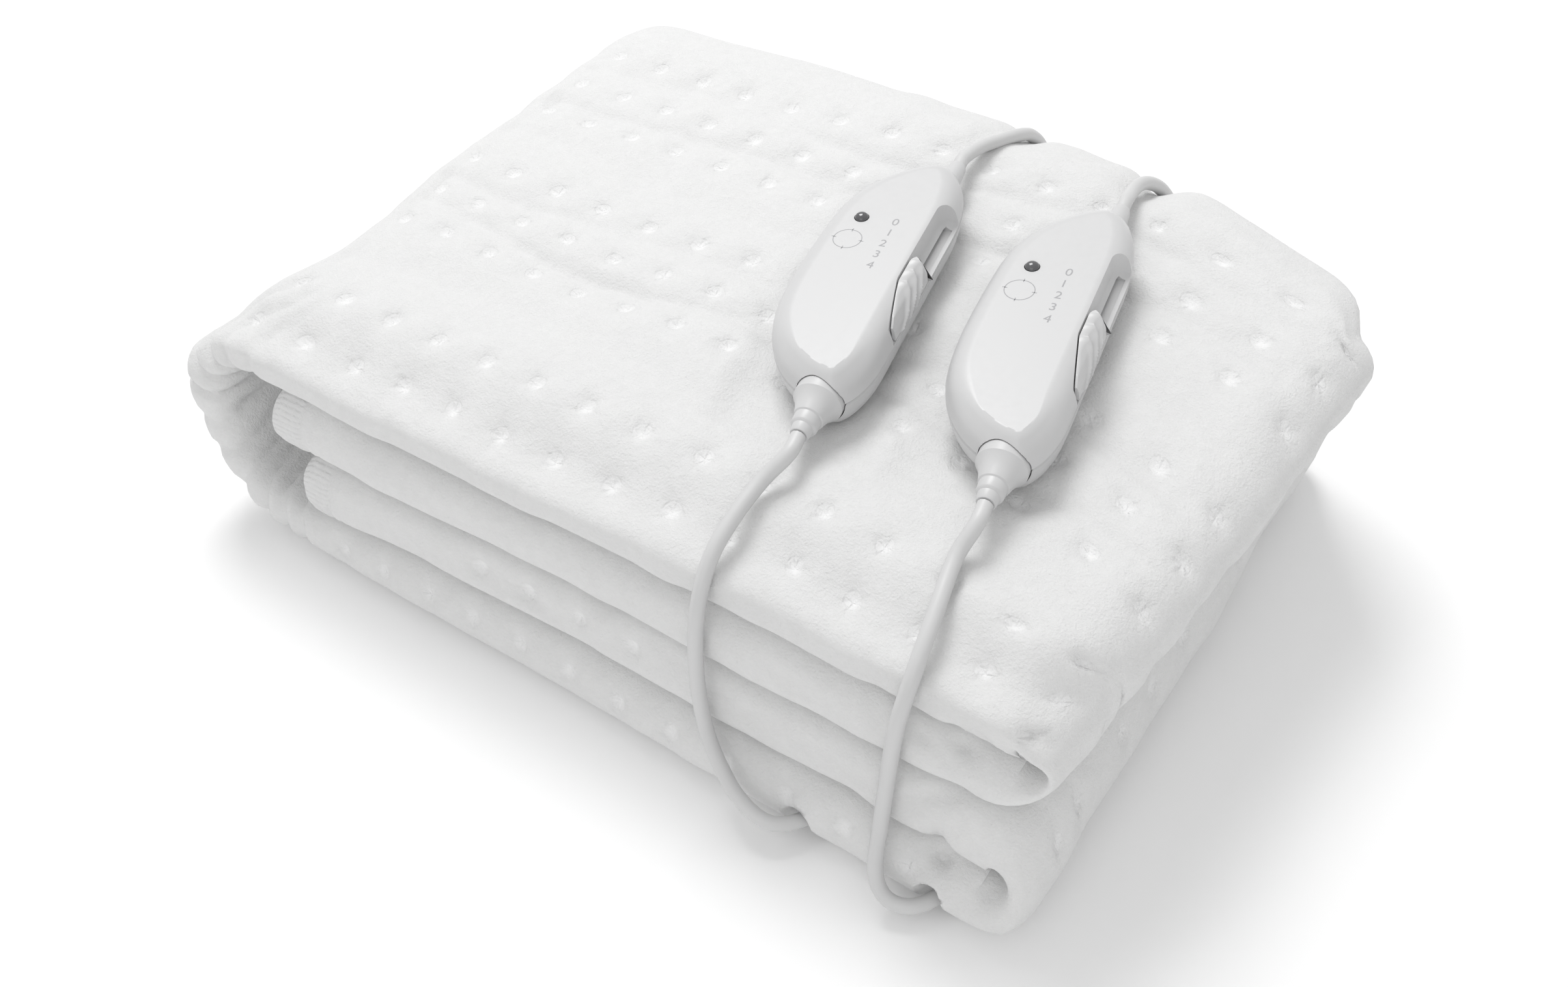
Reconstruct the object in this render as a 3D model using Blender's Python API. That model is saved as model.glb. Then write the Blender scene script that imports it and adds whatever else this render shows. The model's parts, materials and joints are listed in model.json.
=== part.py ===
"""Electric underblanket, folded into a pack, with its two inline controllers lying on top.

The blanket is one solid. Its strip section is a letter fold of three thick layers, and that section is swept
along a gate fold in plan view from the front: a hem, out to the right, over, back along the top, round the
spine at the left, along the bottom, over and back to the second hem. X runs along the strip, Y from the
front of the pack to its back, Z up, and the pack rests on Z = 0. Lengths are in metres.
"""

import math

import bmesh
import bpy
import numpy as np
from mathutils import Matrix, Vector

# ---------------------------------------------------------------- driving sizes
BAND = 0.0267  # height that each of the four bands takes
STRIP = 0.0259  # thickness of the strip, so that neighbouring bands stay a little apart
LAYERS = 3
LAYER_GAP = 0.0008
FRONT = -0.130  # front of the strip before the pack's own unevenness
BACK = 0.145
END_X = 0.2035  # outside of the right-hand folds
SPINE_X = -0.150  # where the top strip starts to turn down into the spine
SPINE_REACH = 0.031
SPINE_LEAN = 0.012  # how much further left the foot of the spine stands
SPINE_POWER = 2.5
HEM_UPPER_X = -0.1445
HEM_LOWER_X = -0.1370
BEND_SQUEEZE = 0.70  # thickness of the strip in the middle of a right-hand fold
PITCH = 0.0254  # distance between quilting spots along a row
FIRST_COLUMN_X = -0.1613
SPOT_DEPTH = 0.0034
SPOT_RADIUS = 0.0065
TOP_ROWS = (0.1021, 0.0759, 0.0528, 0.0064, -0.0170, -0.0411, -0.0914, -0.1130)
FRONT_SPOTS = (  # rows of spots on the folded front edge
    # first x, number, height
    (-0.1232, 12, 0.0165),
    (-0.0430, 4, 0.0420),
)

# Front edge of each band, at the pack's left and right. The bands step back towards the top.
BAND_FRONTS = (
    # height, left y, right y
    (0.0133, -0.1480, -0.1465),
    (0.0400, -0.1400, -0.1350),
    (0.0667, -0.1380, -0.1310),
    (0.0934, -0.1300, -0.1240),
)
FRONT_LEFT_X, FRONT_RIGHT_X = -0.140, 0.140
FRONT_CORNERS = (  # radius of the rounded corner at the front right
    # height, radius
    (0.020, 0.008),
    (0.040, 0.014),
    (0.070, 0.026),
)
SPINE_FRONT_CORNER = (0.2020, 0.010)  # where it starts, to the left of the middle, and its radius
BACK_CORNER = 0.022  # radius at the back right
SPINE_BACK_CORNER = (0.164, 0.034)  # where it starts, to the left of the middle, and its radius
BACK_PULL = 0.009  # the back edge comes forward towards the right
SPINE_BULGE = 0.0165  # the spine's front end stands further out
UPPER_SPREAD = 0.0150  # towards the back the upper right fold stands further out, and the lower one further in
LOWER_TAPER = 0.0060

# The rows of spots swing towards the front near the right-hand folds.
DRIFT_START = 0.100
DRIFT_BEND = 0.036
DRIFT_SLOPE = 0.349

# Where the mains cords press into the back edge.
CORD_DENTS = (
    # x, start of the dent in y, depth
    (0.0405, 0.1180, 0.0050),
    (0.1020, 0.1080, 0.0065),
)
DENT_HALF_WIDTH = 0.0085

# Each pair below is where a gradual change starts and the distance that it takes.
FRONT_REACH = (0.050, 0.080)  # to the front, from the middle
FRONT_DRIFT_END = (-0.125, 0.090)
BACK_REACH = (0.085, 0.060)
BACK_PULL_REACH = (0.030, 0.110)
BULGE_LEFT = (0.120, 0.050)
BULGE_FRONT = (0.060, 0.080)
BULGE_UP = (0.012, 0.040)
SPREAD_RIGHT = (0.120, 0.070)
SPREAD_ALONG = (-0.130, 0.220)
CREST = (0.060, 0.036)
FRONT_THIN, FRONT_THIN_REACH = 0.40, (0.088, 0.034)  # share that the top band loses at its front edge
BACK_THIN, BACK_THIN_REACH = 0.22, (0.115, 0.030)
DENT_REACH = 0.020
DENT_TOP = (0.078, 0.020)
DENT_BACK = (0.130, 0.012)
DENT_BACK_UP = (0.030, 0.050)
# The controllers' weight presses the top band down a little.
PRESS = 0.0022
PRESS_ACROSS = (0.018, 0.018)  # half width that is fully pressed, and the distance that it fades over
PRESS_ALONG = (0.058, 0.022)
PRESS_MIDDLE = -0.005

# Soft troughs that run along the top between the rows of spots.
TROUGHS = (
    # y, depth, half width
    (0.0890, 0.0012, 0.006),
    (0.0640, 0.0016, 0.006),
    (0.0300, 0.0008, 0.012),
    (-0.0050, 0.0012, 0.006),
    (-0.0290, 0.0016, 0.006),
    (-0.0660, 0.0008, 0.012),
)

# The strip's section, folded back and forth.
NOSE_DEPTH = 0.0135  # of the rounded front fold
NOSE_INSIDE = 0.0078  # how much shallower its inside is
BACK_FOLD_DEPTH = 0.0100
BACK_FOLD_INSIDE = 0.0125
FREE_EDGE_IN = 0.0040
INNER_EDGE_IN = 0.0015
INSIDE_ROWS = (-0.040, 0.050)  # y of the rows on the hidden faces
PLAIN_ROWS = (  # y of the rows between the rows of spots
    0.1290, 0.0890, 0.0643, 0.0370, 0.0215, -0.0053, -0.0290, -0.0560, -0.0745, -0.1022,
)
FOLD_SQUARENESS = 0.8  # 1 gives round folds, less gives squarer ones

# Where the sweep has its stations on every straight stretch, apart from those at the spots.
COARSE_STATIONS = (-0.060, 0.030, 0.110, 0.155)
FAR_LEFT_STATION = -0.120
HEM_STATION = 0.030  # from the hem

# Controllers. Each is modelled about its own origin: X across, Y along towards the nose, Z up.
CONTROLLERS = {
    # name: (x, y)
    "left": (0.050, 0.008),
    "right": (0.1202, 0.0132),
}
CONTROLLER_TURN = math.radians(12.8)
CONTROLLER_Z = 0.1048
OUTLINE = (
    # across, along
    (0.0185, -0.050),
    (0.0190, -0.020),
    (0.0188, 0.015),
    (0.0183, 0.040),
    (0.0140, 0.058),
    (0.0050, 0.0660),
    (-0.0060, 0.0625),
    (-0.0185, 0.0500),
    (-0.0262, 0.0330),
    (-0.0283, 0.0100),
    (-0.0283, -0.0200),
    (-0.0245, -0.0400),
    (-0.0140, -0.0560),
    (0.0000, -0.0650),
    (0.0120, -0.0655),
)
OUTLINE_STEP = 0.0075  # distance between the points round the housing
BASE_RINGS = (
    # height, inset
    (0.0000, 0.0065),
    (0.0020, 0.0030),
    (0.0060, 0.0008),
    (0.0112, 0.0000),
)
TOP_RINGS = (
    # height, inset
    (0.0115, 0.0000),
    (0.0165, 0.0008),
    (0.0205, 0.0028),
    (0.0232, 0.0060),
    (0.0240, 0.0095),
)
BEVEL_REACH = 0.0095  # how much further in the top's edge stands above the strain relief
CHANNEL = (-0.0315, 0.0410)  # slider's channel, from its low end to its end at the nose
CHANNEL_FLOOR = 0.0125
CHANNEL_WALL = 0.0135
SLOT_IN = 0.0095
SLOT_LOW, SLOT_HIGH = 0.0133, 0.0152
SLOT_RUN = (-0.0240, 0.0365)
SLIDER_LOW = -0.0295
SLIDER_LENGTH = 0.0360
SLIDER_SWEEP = 0.0030
SLIDER_FACE = (
    # height, across
    (0.0132, 0.0192),
    (0.0165, 0.0190),
    (0.0205, 0.0168),
    (0.0228, 0.0142),
)
SLIDER_STATIONS = (
    # share of the length, share of the width, how far proud
    (0.04, 0.30, 0.0),
    (0.16, 0.62, 0.0),
    (0.26, 0.80, 0.0006),
    (0.34, 0.88, 0.0),
    (0.43, 0.93, 0.0009),
    (0.52, 0.97, 0.0),
    (0.61, 1.00, 0.0010),
    (0.70, 1.00, 0.0),
    (0.80, 1.00, 0.0002),
    (0.93, 0.97, 0.0),
    (1.00, 0.80, 0.0),
)
SLIDER_WALL = 0.0004  # its clearance to the channel's wall
SLIDER_TOP = 0.0226
SLIDER_LOW_SHARE = 0.55  # height of the slide at its pointed ends
STEM_RUN = (0.55, 0.0040)  # share of the slide's length where the stem is, and half its length
CLEAR = 0.0003
LAMP_PLACE = (-0.0130, 0.0210)
LAMP_RADIUS = 0.0026
LAMP_SUNK = 0.0012

# Cords
CORD_DIAMETER = 0.0056
CORD_STEP = 0.0158
SQUARE_END = 0.0040
RELIEF_PROFILE = (
    # distance along the cord, radius
    (0.0000, 0.0098),
    (0.0030, 0.0096),
    (0.0090, 0.0066),
    (0.0125, 0.0056),
    (0.0130, 0.0050),
    (0.0170, 0.0048),
    (0.0175, 0.0038),
    (0.0210, 0.0034),
)
RELIEF_PLACE = (0.0040, -0.0655, 0.0116)
RELIEF_SUNK = 0.0040
SLEEVE_PROFILE = (
    # distance along the cord, radius
    (0.0000, 0.0046),
    (0.0200, 0.0034),
)
SLEEVE_PLACE = (0.0040, 0.0655, 0.0085)
SLEEVE_SUNK = 0.0045

LOWER_ROUTES = {
    # points after the strain relief, to the groove under the blanket's front edge
    "left": (
        (0.0700, -0.0900, 0.1105), (0.0690, -0.1060, 0.1060), (0.0695, -0.1206, 0.1000),
        (0.0700, -0.1316, 0.0852), (0.0695, -0.1378, 0.0590), (0.0725, -0.1425, 0.0340),
        (0.0815, -0.1480, 0.0235), (0.0945, -0.1530, 0.0160), (0.1068, -0.1520, 0.0110),
        (0.1165, -0.1400, 0.0085), (0.1270, -0.1262, 0.0070),
    ),
    "right": (
        (0.1430, -0.0850, 0.1100), (0.1480, -0.1060, 0.1055), (0.1510, -0.1222, 0.0982),
        (0.1500, -0.1322, 0.0805), (0.1475, -0.1365, 0.0540), (0.1470, -0.1425, 0.0310),
        (0.1498, -0.1512, 0.0170), (0.1558, -0.1535, 0.0088), (0.1642, -0.1500, 0.0070),
        (0.1705, -0.1385, 0.0068), (0.1765, -0.1260, 0.0068),
    ),
}
UPPER_ROUTES = {
    # points after the nose, over the back edge and down to the coil
    "left": (
        (0.0344, 0.1080, 0.1104), (0.0366, 0.1190, 0.1076), (0.0390, 0.1285, 0.1050),
        (0.0405, 0.1374, 0.1004), (0.0418, 0.1446, 0.0908), (0.0430, 0.1475, 0.0780),
        (0.0435, 0.1490, 0.0600), (0.0410, 0.1500, 0.0400), (0.0325, 0.1500, 0.0200),
        (0.0160, 0.1505, 0.0070), (-0.0060, 0.1510, 0.0032), (-0.0320, 0.1550, 0.0031),
        (-0.0560, 0.1596, 0.0031), (-0.0770, 0.1606, 0.0031),
    ),
    "right": (
        (0.1022, 0.1085, 0.1102), (0.1008, 0.1180, 0.1076), (0.1010, 0.1260, 0.1036),
        (0.1028, 0.1335, 0.0970), (0.1055, 0.1390, 0.0870), (0.1085, 0.1420, 0.0755),
        (0.1110, 0.1445, 0.0600), (0.1115, 0.1470, 0.0400), (0.1070, 0.1505, 0.0205),
        (0.0975, 0.1540, 0.0075), (0.0850, 0.1556, 0.0031),
    ),
}
COILS = {
    # name: (x, y) of the middle
    "left": (-0.1000, 0.2000),
    "right": (0.0620, 0.1950),
}
COIL_TURN_RADIUS = 0.0310
COIL_SECTION = (0.0224, 0.0114)  # width and height of the wound turns
COIL_FOOT = 0.0016  # the tie passes under the turns
TIE_SIZE = (0.0060, 0.0010)  # width and thickness
TIE_ANGLE = math.radians(90)
TAIL_START = (-0.0250, -0.0378, 0.0088)  # from the coil's middle, where the cord leaves its outer turn
PLUG_PLACE = (-0.0942, -0.0023)  # front face, from the coil's middle
PLUG_TURN = math.radians(-118)
PLUG_SIDES = 16
PLUG_ROWS = (
    # distance behind the front face, width, height
    (0.0000, 0.0262, 0.0138),
    (0.0110, 0.0262, 0.0138),
    (0.0200, 0.0230, 0.0136),
    (0.0300, 0.0150, 0.0120),
    (0.0355, 0.0110, 0.0110),
    (0.0365, 0.0096, 0.0096),
    (0.0580, 0.0066, 0.0066),
)
GROOVE_WIDTH = 0.0105
GROOVE_HEIGHT = 0.0150
PIN_RADIUS = 0.0020
PIN_LENGTH = 0.0190
PIN_APART = 0.0093

# ---------------------------------------------------------------- colours
FLEECE = (0.93, 0.93, 0.92)
SHELL = (0.84, 0.84, 0.84)
CORD = (0.80, 0.80, 0.80)
LAMP = (0.10, 0.10, 0.10)
METAL = (0.75, 0.74, 0.70)


def material(name, colour, roughness, metallic=0.0):
    made = bpy.data.materials.new(name)
    made.use_nodes = True
    shader = made.node_tree.nodes["Principled BSDF"]
    shader.inputs["Base Color"].default_value = (*colour, 1.0)
    shader.inputs["Roughness"].default_value = roughness
    shader.inputs["Metallic"].default_value = metallic
    return made


def place(name, data, finish):
    """Puts mesh or curve data into the scene as a named object with its material."""
    data.materials.append(finish)
    made = bpy.data.objects.new(name, data)
    bpy.context.scene.collection.objects.link(made)
    return made


def mesh_from(name, points, faces, smooth=True):
    """A closed mesh with its faces pointing out."""
    shape = bmesh.new()
    corners = [shape.verts.new(point) for point in points]
    for face in faces:
        shape.faces.new([corners[index] for index in face])
    bmesh.ops.recalc_face_normals(shape, faces=shape.faces)
    if shape.calc_volume(signed=True) < 0:
        bmesh.ops.reverse_faces(shape, faces=shape.faces)
    data = bpy.data.meshes.new(name)
    shape.to_mesh(data)
    shape.free()
    if smooth:
        data.shade_smooth()
        data.set_sharp_from_angle(angle=math.radians(35))
    return data


def ease(value):
    """Smooth step from 0 to 1."""
    value = np.clip(value, 0.0, 1.0)
    return value * value * (3.0 - 2.0 * value)


def ramp(value, start, over):
    """0 up to start, then smoothly up to 1 over a distance."""
    return ease((value - start) / over)


# ---------------------------------------------------------------- the pack's own unevenness
def round_in(reach, radius):
    """How far a rounded corner of this radius pulls an edge in, at a reach into the corner."""
    reach = np.clip(reach, 0.0, radius * 0.985)
    return radius - np.sqrt(radius**2 - reach**2)


def front_edge(x, z):
    heights, left, right = np.array(BAND_FRONTS).T
    share = ease((x - FRONT_LEFT_X) / (FRONT_RIGHT_X - FRONT_LEFT_X))
    edge = np.interp(z, heights, left) * (1 - share) + np.interp(z, heights, right) * share
    radius = np.interp(z, *np.array(FRONT_CORNERS).T)
    edge = edge + round_in(x - (END_X - radius), radius)
    start, radius = SPINE_FRONT_CORNER
    return edge + round_in(-x - start, radius)


def row_drift(x):
    """How far the rows of spots swing towards the front near the right-hand folds."""
    reach = np.maximum(x - DRIFT_START, 0.0)
    return DRIFT_SLOPE * np.where(reach < DRIFT_BEND, reach**2 / (2 * DRIFT_BEND), reach - DRIFT_BEND / 2)


def back_edge(x, z):
    pull = BACK_PULL * ramp(x, *BACK_PULL_REACH)
    upright = x + SPINE_LEAN * np.clip(1.1 - z / (4 * BAND), 0.0, 1.0) * ramp(-x, -SPINE_X, 0.020)
    start, radius = SPINE_BACK_CORNER
    corner = round_in(x - (END_X - BACK_CORNER), BACK_CORNER) + round_in(-upright - start, radius)
    return BACK - row_drift(x) - pull - corner


def settle(x, y, z):
    """Takes a point of the even pack to its place in the slumped, uneven one."""
    to_front = ramp(-y, *FRONT_REACH)
    to_back = ramp(y, *BACK_REACH)
    drift = row_drift(x)
    x = x - SPINE_BULGE * ramp(-x, *BULGE_LEFT) * ramp(-y, *BULGE_FRONT) * ramp(z, *BULGE_UP)
    start, over = SPREAD_ALONG
    share = np.clip((y - start) / over, 0.0, 1.0)
    upper = ramp(z, 1.8 * BAND, 0.4 * BAND)
    x = x + share * ramp(x, *SPREAD_RIGHT) * (UPPER_SPREAD * ramp(z, *CREST) - LOWER_TAPER * (1 - upper))
    moved = y - drift * ramp(y, *FRONT_DRIFT_END)
    moved = moved + to_front * (front_edge(x, z) - FRONT)
    moved = moved + to_back * (back_edge(x, z) + drift - BACK)
    # The top band thins towards the front and back edges.
    base = 3 * BAND
    thin = FRONT_THIN * ramp(-y, *FRONT_THIN_REACH) + BACK_THIN * ramp(y, *BACK_THIN_REACH)
    lifted = np.where(z > base, base + (z - base) * (1 - thin), z)
    for cx, cy in CONTROLLERS.values():
        across = (moved - cy) * math.sin(CONTROLLER_TURN) + (x - cx) * math.cos(CONTROLLER_TURN)
        along = (moved - cy) * math.cos(CONTROLLER_TURN) - (x - cx) * math.sin(CONTROLLER_TURN)
        near = (1 - ramp(abs(across - PRESS_MIDDLE), *PRESS_ACROSS)) * (1 - ramp(abs(along), *PRESS_ALONG))
        lifted = lifted - np.where(z > base, PRESS * near * (z - base) / BAND, 0.0)
    for cx, start, depth in CORD_DENTS:
        press = depth * math.exp(-((x - cx) / DENT_HALF_WIDTH) ** 2)
        lifted = lifted - press * ramp(y, start, DENT_REACH) * ramp(z, *DENT_TOP)
        moved = moved - press * ramp(y, *DENT_BACK) * ramp(z, *DENT_BACK_UP)
    return np.array((x, moved, lifted))


# ---------------------------------------------------------------- the strip's section
def section_rows():
    """The letter-folded strip's outline as (y, n, normal y, normal n, dense) rows, n from -0.5 to 0.5."""
    layer = (STRIP - (LAYERS - 1) * LAYER_GAP) / LAYERS / STRIP
    gap = LAYER_GAP / STRIP
    half = 0.5
    rows = []

    def add(y, n, dense=False, normal=(0.0, 0.0)):
        rows.append((y, n, normal[0], normal[1], dense))

    def fold(y, middle, reach, depth, start, end, count, dense=False, into=False):
        for step in range(count):
            angle = math.radians(start + (end - start) * step / (count - 1))
            out = math.cos(angle)
            up = math.sin(angle)
            round_out = math.copysign(abs(out) ** FOLD_SQUARENESS, out)
            round_up = math.copysign(abs(up) ** FOLD_SQUARENESS, up)
            normal = (0.0, 0.0) if into else (out, up)
            add(y + depth * round_out, middle + reach * round_up, dense, normal)

    # Outer face of the outer layer, from the back edge to the front fold, with a row at each line of spots.
    for y in sorted({*TOP_ROWS, *PLAIN_ROWS}, reverse=True):
        add(y, half, True, (0.0, 1.0))
    # Front fold, outside.
    fold(FRONT + NOSE_DEPTH, 0.0, half, -NOSE_DEPTH, 90 + 1e-6, -90, 8, True)
    # Inner layer, outside face, its free edge and its inside face.
    for y in INSIDE_ROWS:
        add(y, -half)
    add(BACK - FREE_EDGE_IN, -half)
    add(BACK - FREE_EDGE_IN, -half + layer)
    for y in reversed(INSIDE_ROWS):
        add(y, -half + layer)
    # Inside of the front fold.
    fold(FRONT + NOSE_DEPTH, 0.0, half - layer, -NOSE_DEPTH + NOSE_INSIDE, -90, 90, 5, into=True)
    # Inside of the outer layer, the back fold's inside and the middle layer with its free edge.
    for y in INSIDE_ROWS:
        add(y, half - layer)
    add(BACK - BACK_FOLD_INSIDE, half - layer)
    add(BACK - BACK_FOLD_INSIDE, half - layer - gap)
    for y in reversed(INSIDE_ROWS):
        add(y, half - layer - gap)
    add(FRONT + NOSE_DEPTH + INNER_EDGE_IN, half - layer - gap)
    add(FRONT + NOSE_DEPTH + INNER_EDGE_IN, -half + layer + gap)
    for y in INSIDE_ROWS:
        add(y, -half + layer + gap)
    # Back fold, outside.
    fold(BACK - BACK_FOLD_DEPTH, (layer + gap) / 2, (1 - layer - gap) / 2, BACK_FOLD_DEPTH, -90, 90 - 1e-6, 6, True)
    return rows


# ---------------------------------------------------------------- the strip's path
def band_heights():
    """The middle of each band, with the lowest one's outside on the floor."""
    return [BAND * band + STRIP / 2 for band in range(4)]


def path_points(kind, count):
    """Points (x, z) along one stretch of the path, and how much the strip thins at each."""
    fold_x = END_X - BAND
    heights = band_heights()
    top, bottom = heights[3], heights[0]
    if kind == "spine":
        middle, tall = (top + bottom) / 2, (top - bottom) / 2
        points = []
        for step in range(count):
            angle = math.pi / 2 + math.pi * step / (count - 1)
            reach = abs(math.cos(angle)) ** (2 / SPINE_POWER)
            rise = math.copysign(abs(math.sin(angle)) ** (2 / SPINE_POWER), math.sin(angle))
            lean = SPINE_LEAN * reach * (1 - rise) / 2
            points.append((SPINE_X - SPINE_REACH * reach - lean, middle + tall * rise, 1.0))
        return points
    low, high = (heights[2], heights[3]) if kind == "upper fold" else (heights[0], heights[1])
    middle, radius = (low + high) / 2, (high - low) / 2
    points = []
    for step in range(count):
        angle = -math.pi / 2 + math.pi * step / (count - 1)
        squeeze = 1 - (1 - BEND_SQUEEZE) * math.cos(angle) ** 0.7 if step not in (0, count - 1) else 1.0
        offset = STRIP * (1 - squeeze) / 2  # keeps the outside of the fold where it is
        points.append((
            fold_x + (radius + offset) * math.cos(angle),
            middle + (radius + offset) * math.sin(angle),
            squeeze,
        ))
    return points


def columns(first, last, step):
    """The x of each half column of spots between two places."""
    count = int(round((last - first) / step))
    return [first + step * index for index in range(count + 1)]


def stations():
    """Each station of the sweep: x, z, thinning and whether only dense rows use it."""
    fold_x = END_X - BAND
    heights = band_heights()
    found = []

    def run(start, end, height, dense_from, dense_to, coarse):
        """A straight stretch: coarse stations, with half-column stations between for the dense rows."""
        way = 1 if end > start else -1
        spots = [x for x in columns(FIRST_COLUMN_X, 0.2, PITCH / 2) if dense_from <= x <= dense_to]
        spots += [x for x, _, _ in CORD_DENTS if dense_from <= x <= dense_to]
        places = {round(x, 5): True for x in spots if min(start, end) + 0.006 < x < max(start, end) - 0.004}
        for x in coarse:
            near = min(places, key=lambda value: abs(value - x)) if places else None
            if near is not None and abs(near - x) < PITCH / 4 + 1e-6:
                places[near] = False
            else:
                places[x] = False
        for x in sorted(places, reverse=way < 0):
            found.append((x, height, 1.0, places[x]))

    hem = (HEM_UPPER_X, HEM_UPPER_X + HEM_STATION)
    run(HEM_UPPER_X, fold_x, heights[2], 1, 1, (*hem, *COARSE_STATIONS))
    found.extend((x, z, thin, False) for x, z, thin in path_points("upper fold", 9))
    run(fold_x, SPINE_X, heights[3], -0.2, 0.2, (FAR_LEFT_STATION, *COARSE_STATIONS))
    found.extend((x, z, thin, False) for x, z, thin in path_points("spine", 15))
    run(SPINE_X, fold_x, heights[0], -0.125, 0.165, (FAR_LEFT_STATION, *COARSE_STATIONS))
    found.extend((x, z, thin, False) for x, z, thin in path_points("lower fold", 9))
    hem = (HEM_LOWER_X, HEM_LOWER_X + HEM_STATION)
    run(fold_x, HEM_LOWER_X, heights[1], -0.050, 0.060, (*hem, *COARSE_STATIONS))
    return found


def directions(found):
    """The outward normal (x, z) at each station."""
    line = np.array([(x, z) for x, z, _, _ in found])
    ahead = np.vstack((line[1:], line[-1:])) - np.vstack((line[:1], line[:-1]))
    ahead /= np.linalg.norm(ahead, axis=1)[:, None]
    return np.stack((ahead[:, 1], -ahead[:, 0]), axis=1)


def spot_places():
    """The middle of every quilting spot that shows, on the even pack."""
    places = []
    fold_x = END_X - BAND
    top = 3 * BAND + STRIP
    for column in range(0, 14):
        for y in TOP_ROWS:
            places.append((FIRST_COLUMN_X + PITCH * column, y, top))
    radius = BAND - (BAND - STRIP) / 2
    for column in (14, 15, 16):  # over the right-hand fold
        angle = (FIRST_COLUMN_X + PITCH * column - fold_x) / radius
        for y in TOP_ROWS:
            places.append((fold_x + radius * math.sin(angle), y, top - radius * (1 - math.cos(angle))))
    for first, number, height in FRONT_SPOTS:
        for index in range(number):
            places.append((first + PITCH * index, FRONT, height))
    return np.array(places)


def blanket():
    rows = section_rows()
    found = stations()
    normals = directions(found)
    spots = spot_places()
    top_face = 3.9 * BAND
    shape = bmesh.new()
    rings = []
    for y, n, out_y, out_n, dense in rows:
        ring = []
        for index, (x, z, thin, only_dense) in enumerate(found):
            if only_dense and not dense:
                continue
            nx, nz = normals[index]
            point = np.array((x + n * STRIP * thin * nx, y, z + n * STRIP * thin * nz))
            facing = np.array((out_n * nx, out_y, out_n * nz))
            sink = 0.0
            if out_n > 0.5 and point[2] > top_face:
                for trough_y, depth, wide in TROUGHS:
                    sink += depth * math.exp(-((y - trough_y) ** 2) / wide**2)
            if facing.any() and not (out_n > 0.5 and point[2] < 0.002):
                away = np.linalg.norm(spots - point, axis=1)
                sink += SPOT_DEPTH * float(np.exp(-((away / SPOT_RADIUS) ** 2)).sum())
            point = settle(*(point - facing * sink))
            ring.append((index, shape.verts.new(point)))
        rings.append(ring)
    for first, second in zip(rings, rings[1:] + rings[:1]):
        zip_rings(shape, first, second)
    for end in (0, -1):
        shape.faces.new([ring[end][1] for ring in rings])
    bmesh.ops.recalc_face_normals(shape, faces=shape.faces)
    if shape.calc_volume(signed=True) < 0:
        bmesh.ops.reverse_faces(shape, faces=shape.faces)
    bmesh.ops.triangulate(shape, faces=shape.faces)
    data = bpy.data.meshes.new("blanket")
    shape.to_mesh(data)
    shape.free()
    data.shade_smooth()
    data.set_sharp_from_angle(angle=math.radians(50))
    return data


def zip_rings(shape, first, second):
    """Joins two rows of points that may have different numbers of stations, with triangles."""
    here, there = 0, 0
    while here < len(first) - 1 or there < len(second) - 1:
        step_first = there == len(second) - 1 or (
            here < len(first) - 1 and first[here + 1][0] <= second[there + 1][0]
        )
        if step_first:
            shape.faces.new((first[here][1], first[here + 1][1], second[there][1]))
            here += 1
        else:
            shape.faces.new((first[here][1], second[there + 1][1], second[there][1]))
            there += 1


# ---------------------------------------------------------------- shared shapes
def smooth_line(points, step, closed=False):
    """Evenly spaced points on a Catmull-Rom curve through the given ones."""
    points = [Vector(point) for point in points]
    count = len(points)
    fine = []
    for index in range(count if closed else count - 1):
        around = [
            points[(index + offset) % count] if closed else points[min(max(index + offset, 0), count - 1)]
            for offset in (-1, 0, 1, 2)
        ]
        before, start, end, after = around
        for part in range(16):
            t = part / 16
            fine.append(
                0.5 * (2 * start + (end - before) * t + (2 * before - 5 * start + 4 * end - after) * t**2
                       + (3 * start - before - 3 * end + after) * t**3)
            )
    fine.append(points[0].copy() if closed else points[-1].copy())
    lengths = [0.0]
    for start, end in zip(fine, fine[1:]):
        lengths.append(lengths[-1] + (end - start).length)
    number = max(2, round(lengths[-1] / step))
    spaced = []
    place_on = 0
    for index in range(number + 1):
        target = lengths[-1] * index / number
        while place_on < len(fine) - 2 and lengths[place_on + 1] < target:
            place_on += 1
        span = lengths[place_on + 1] - lengths[place_on]
        spaced.append(fine[place_on].lerp(fine[place_on + 1], (target - lengths[place_on]) / span))
    return spaced[:-1] if closed else spaced


def loft(name, rings):
    """A closed mesh through rings of equal length, with flat ends."""
    size = len(rings[0])
    points = [point for ring in rings for point in ring]
    faces = [
        (row * size + index, row * size + (index + 1) % size,
         (row + 1) * size + (index + 1) % size, (row + 1) * size + index)
        for row in range(len(rings) - 1)
        for index in range(size)
    ]
    faces.append(tuple(range(size)))
    faces.append(tuple((len(rings) - 1) * size + index for index in range(size)))
    return mesh_from(name, points, faces)


def turned(name, profile, start, direction, sides):
    """A solid of revolution: (distance, radius) rows from start along direction."""
    frame = Matrix.Translation(start) @ Vector(direction).to_track_quat("Z", "Y").to_matrix().to_4x4()
    rings = []
    for distance, radius in profile:
        rings.append([
            frame @ Vector((
                radius * math.cos(2 * math.pi * side / sides),
                radius * math.sin(2 * math.pi * side / sides),
                distance,
            ))
            for side in range(sides)
        ])
    return loft(name, rings)


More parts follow.
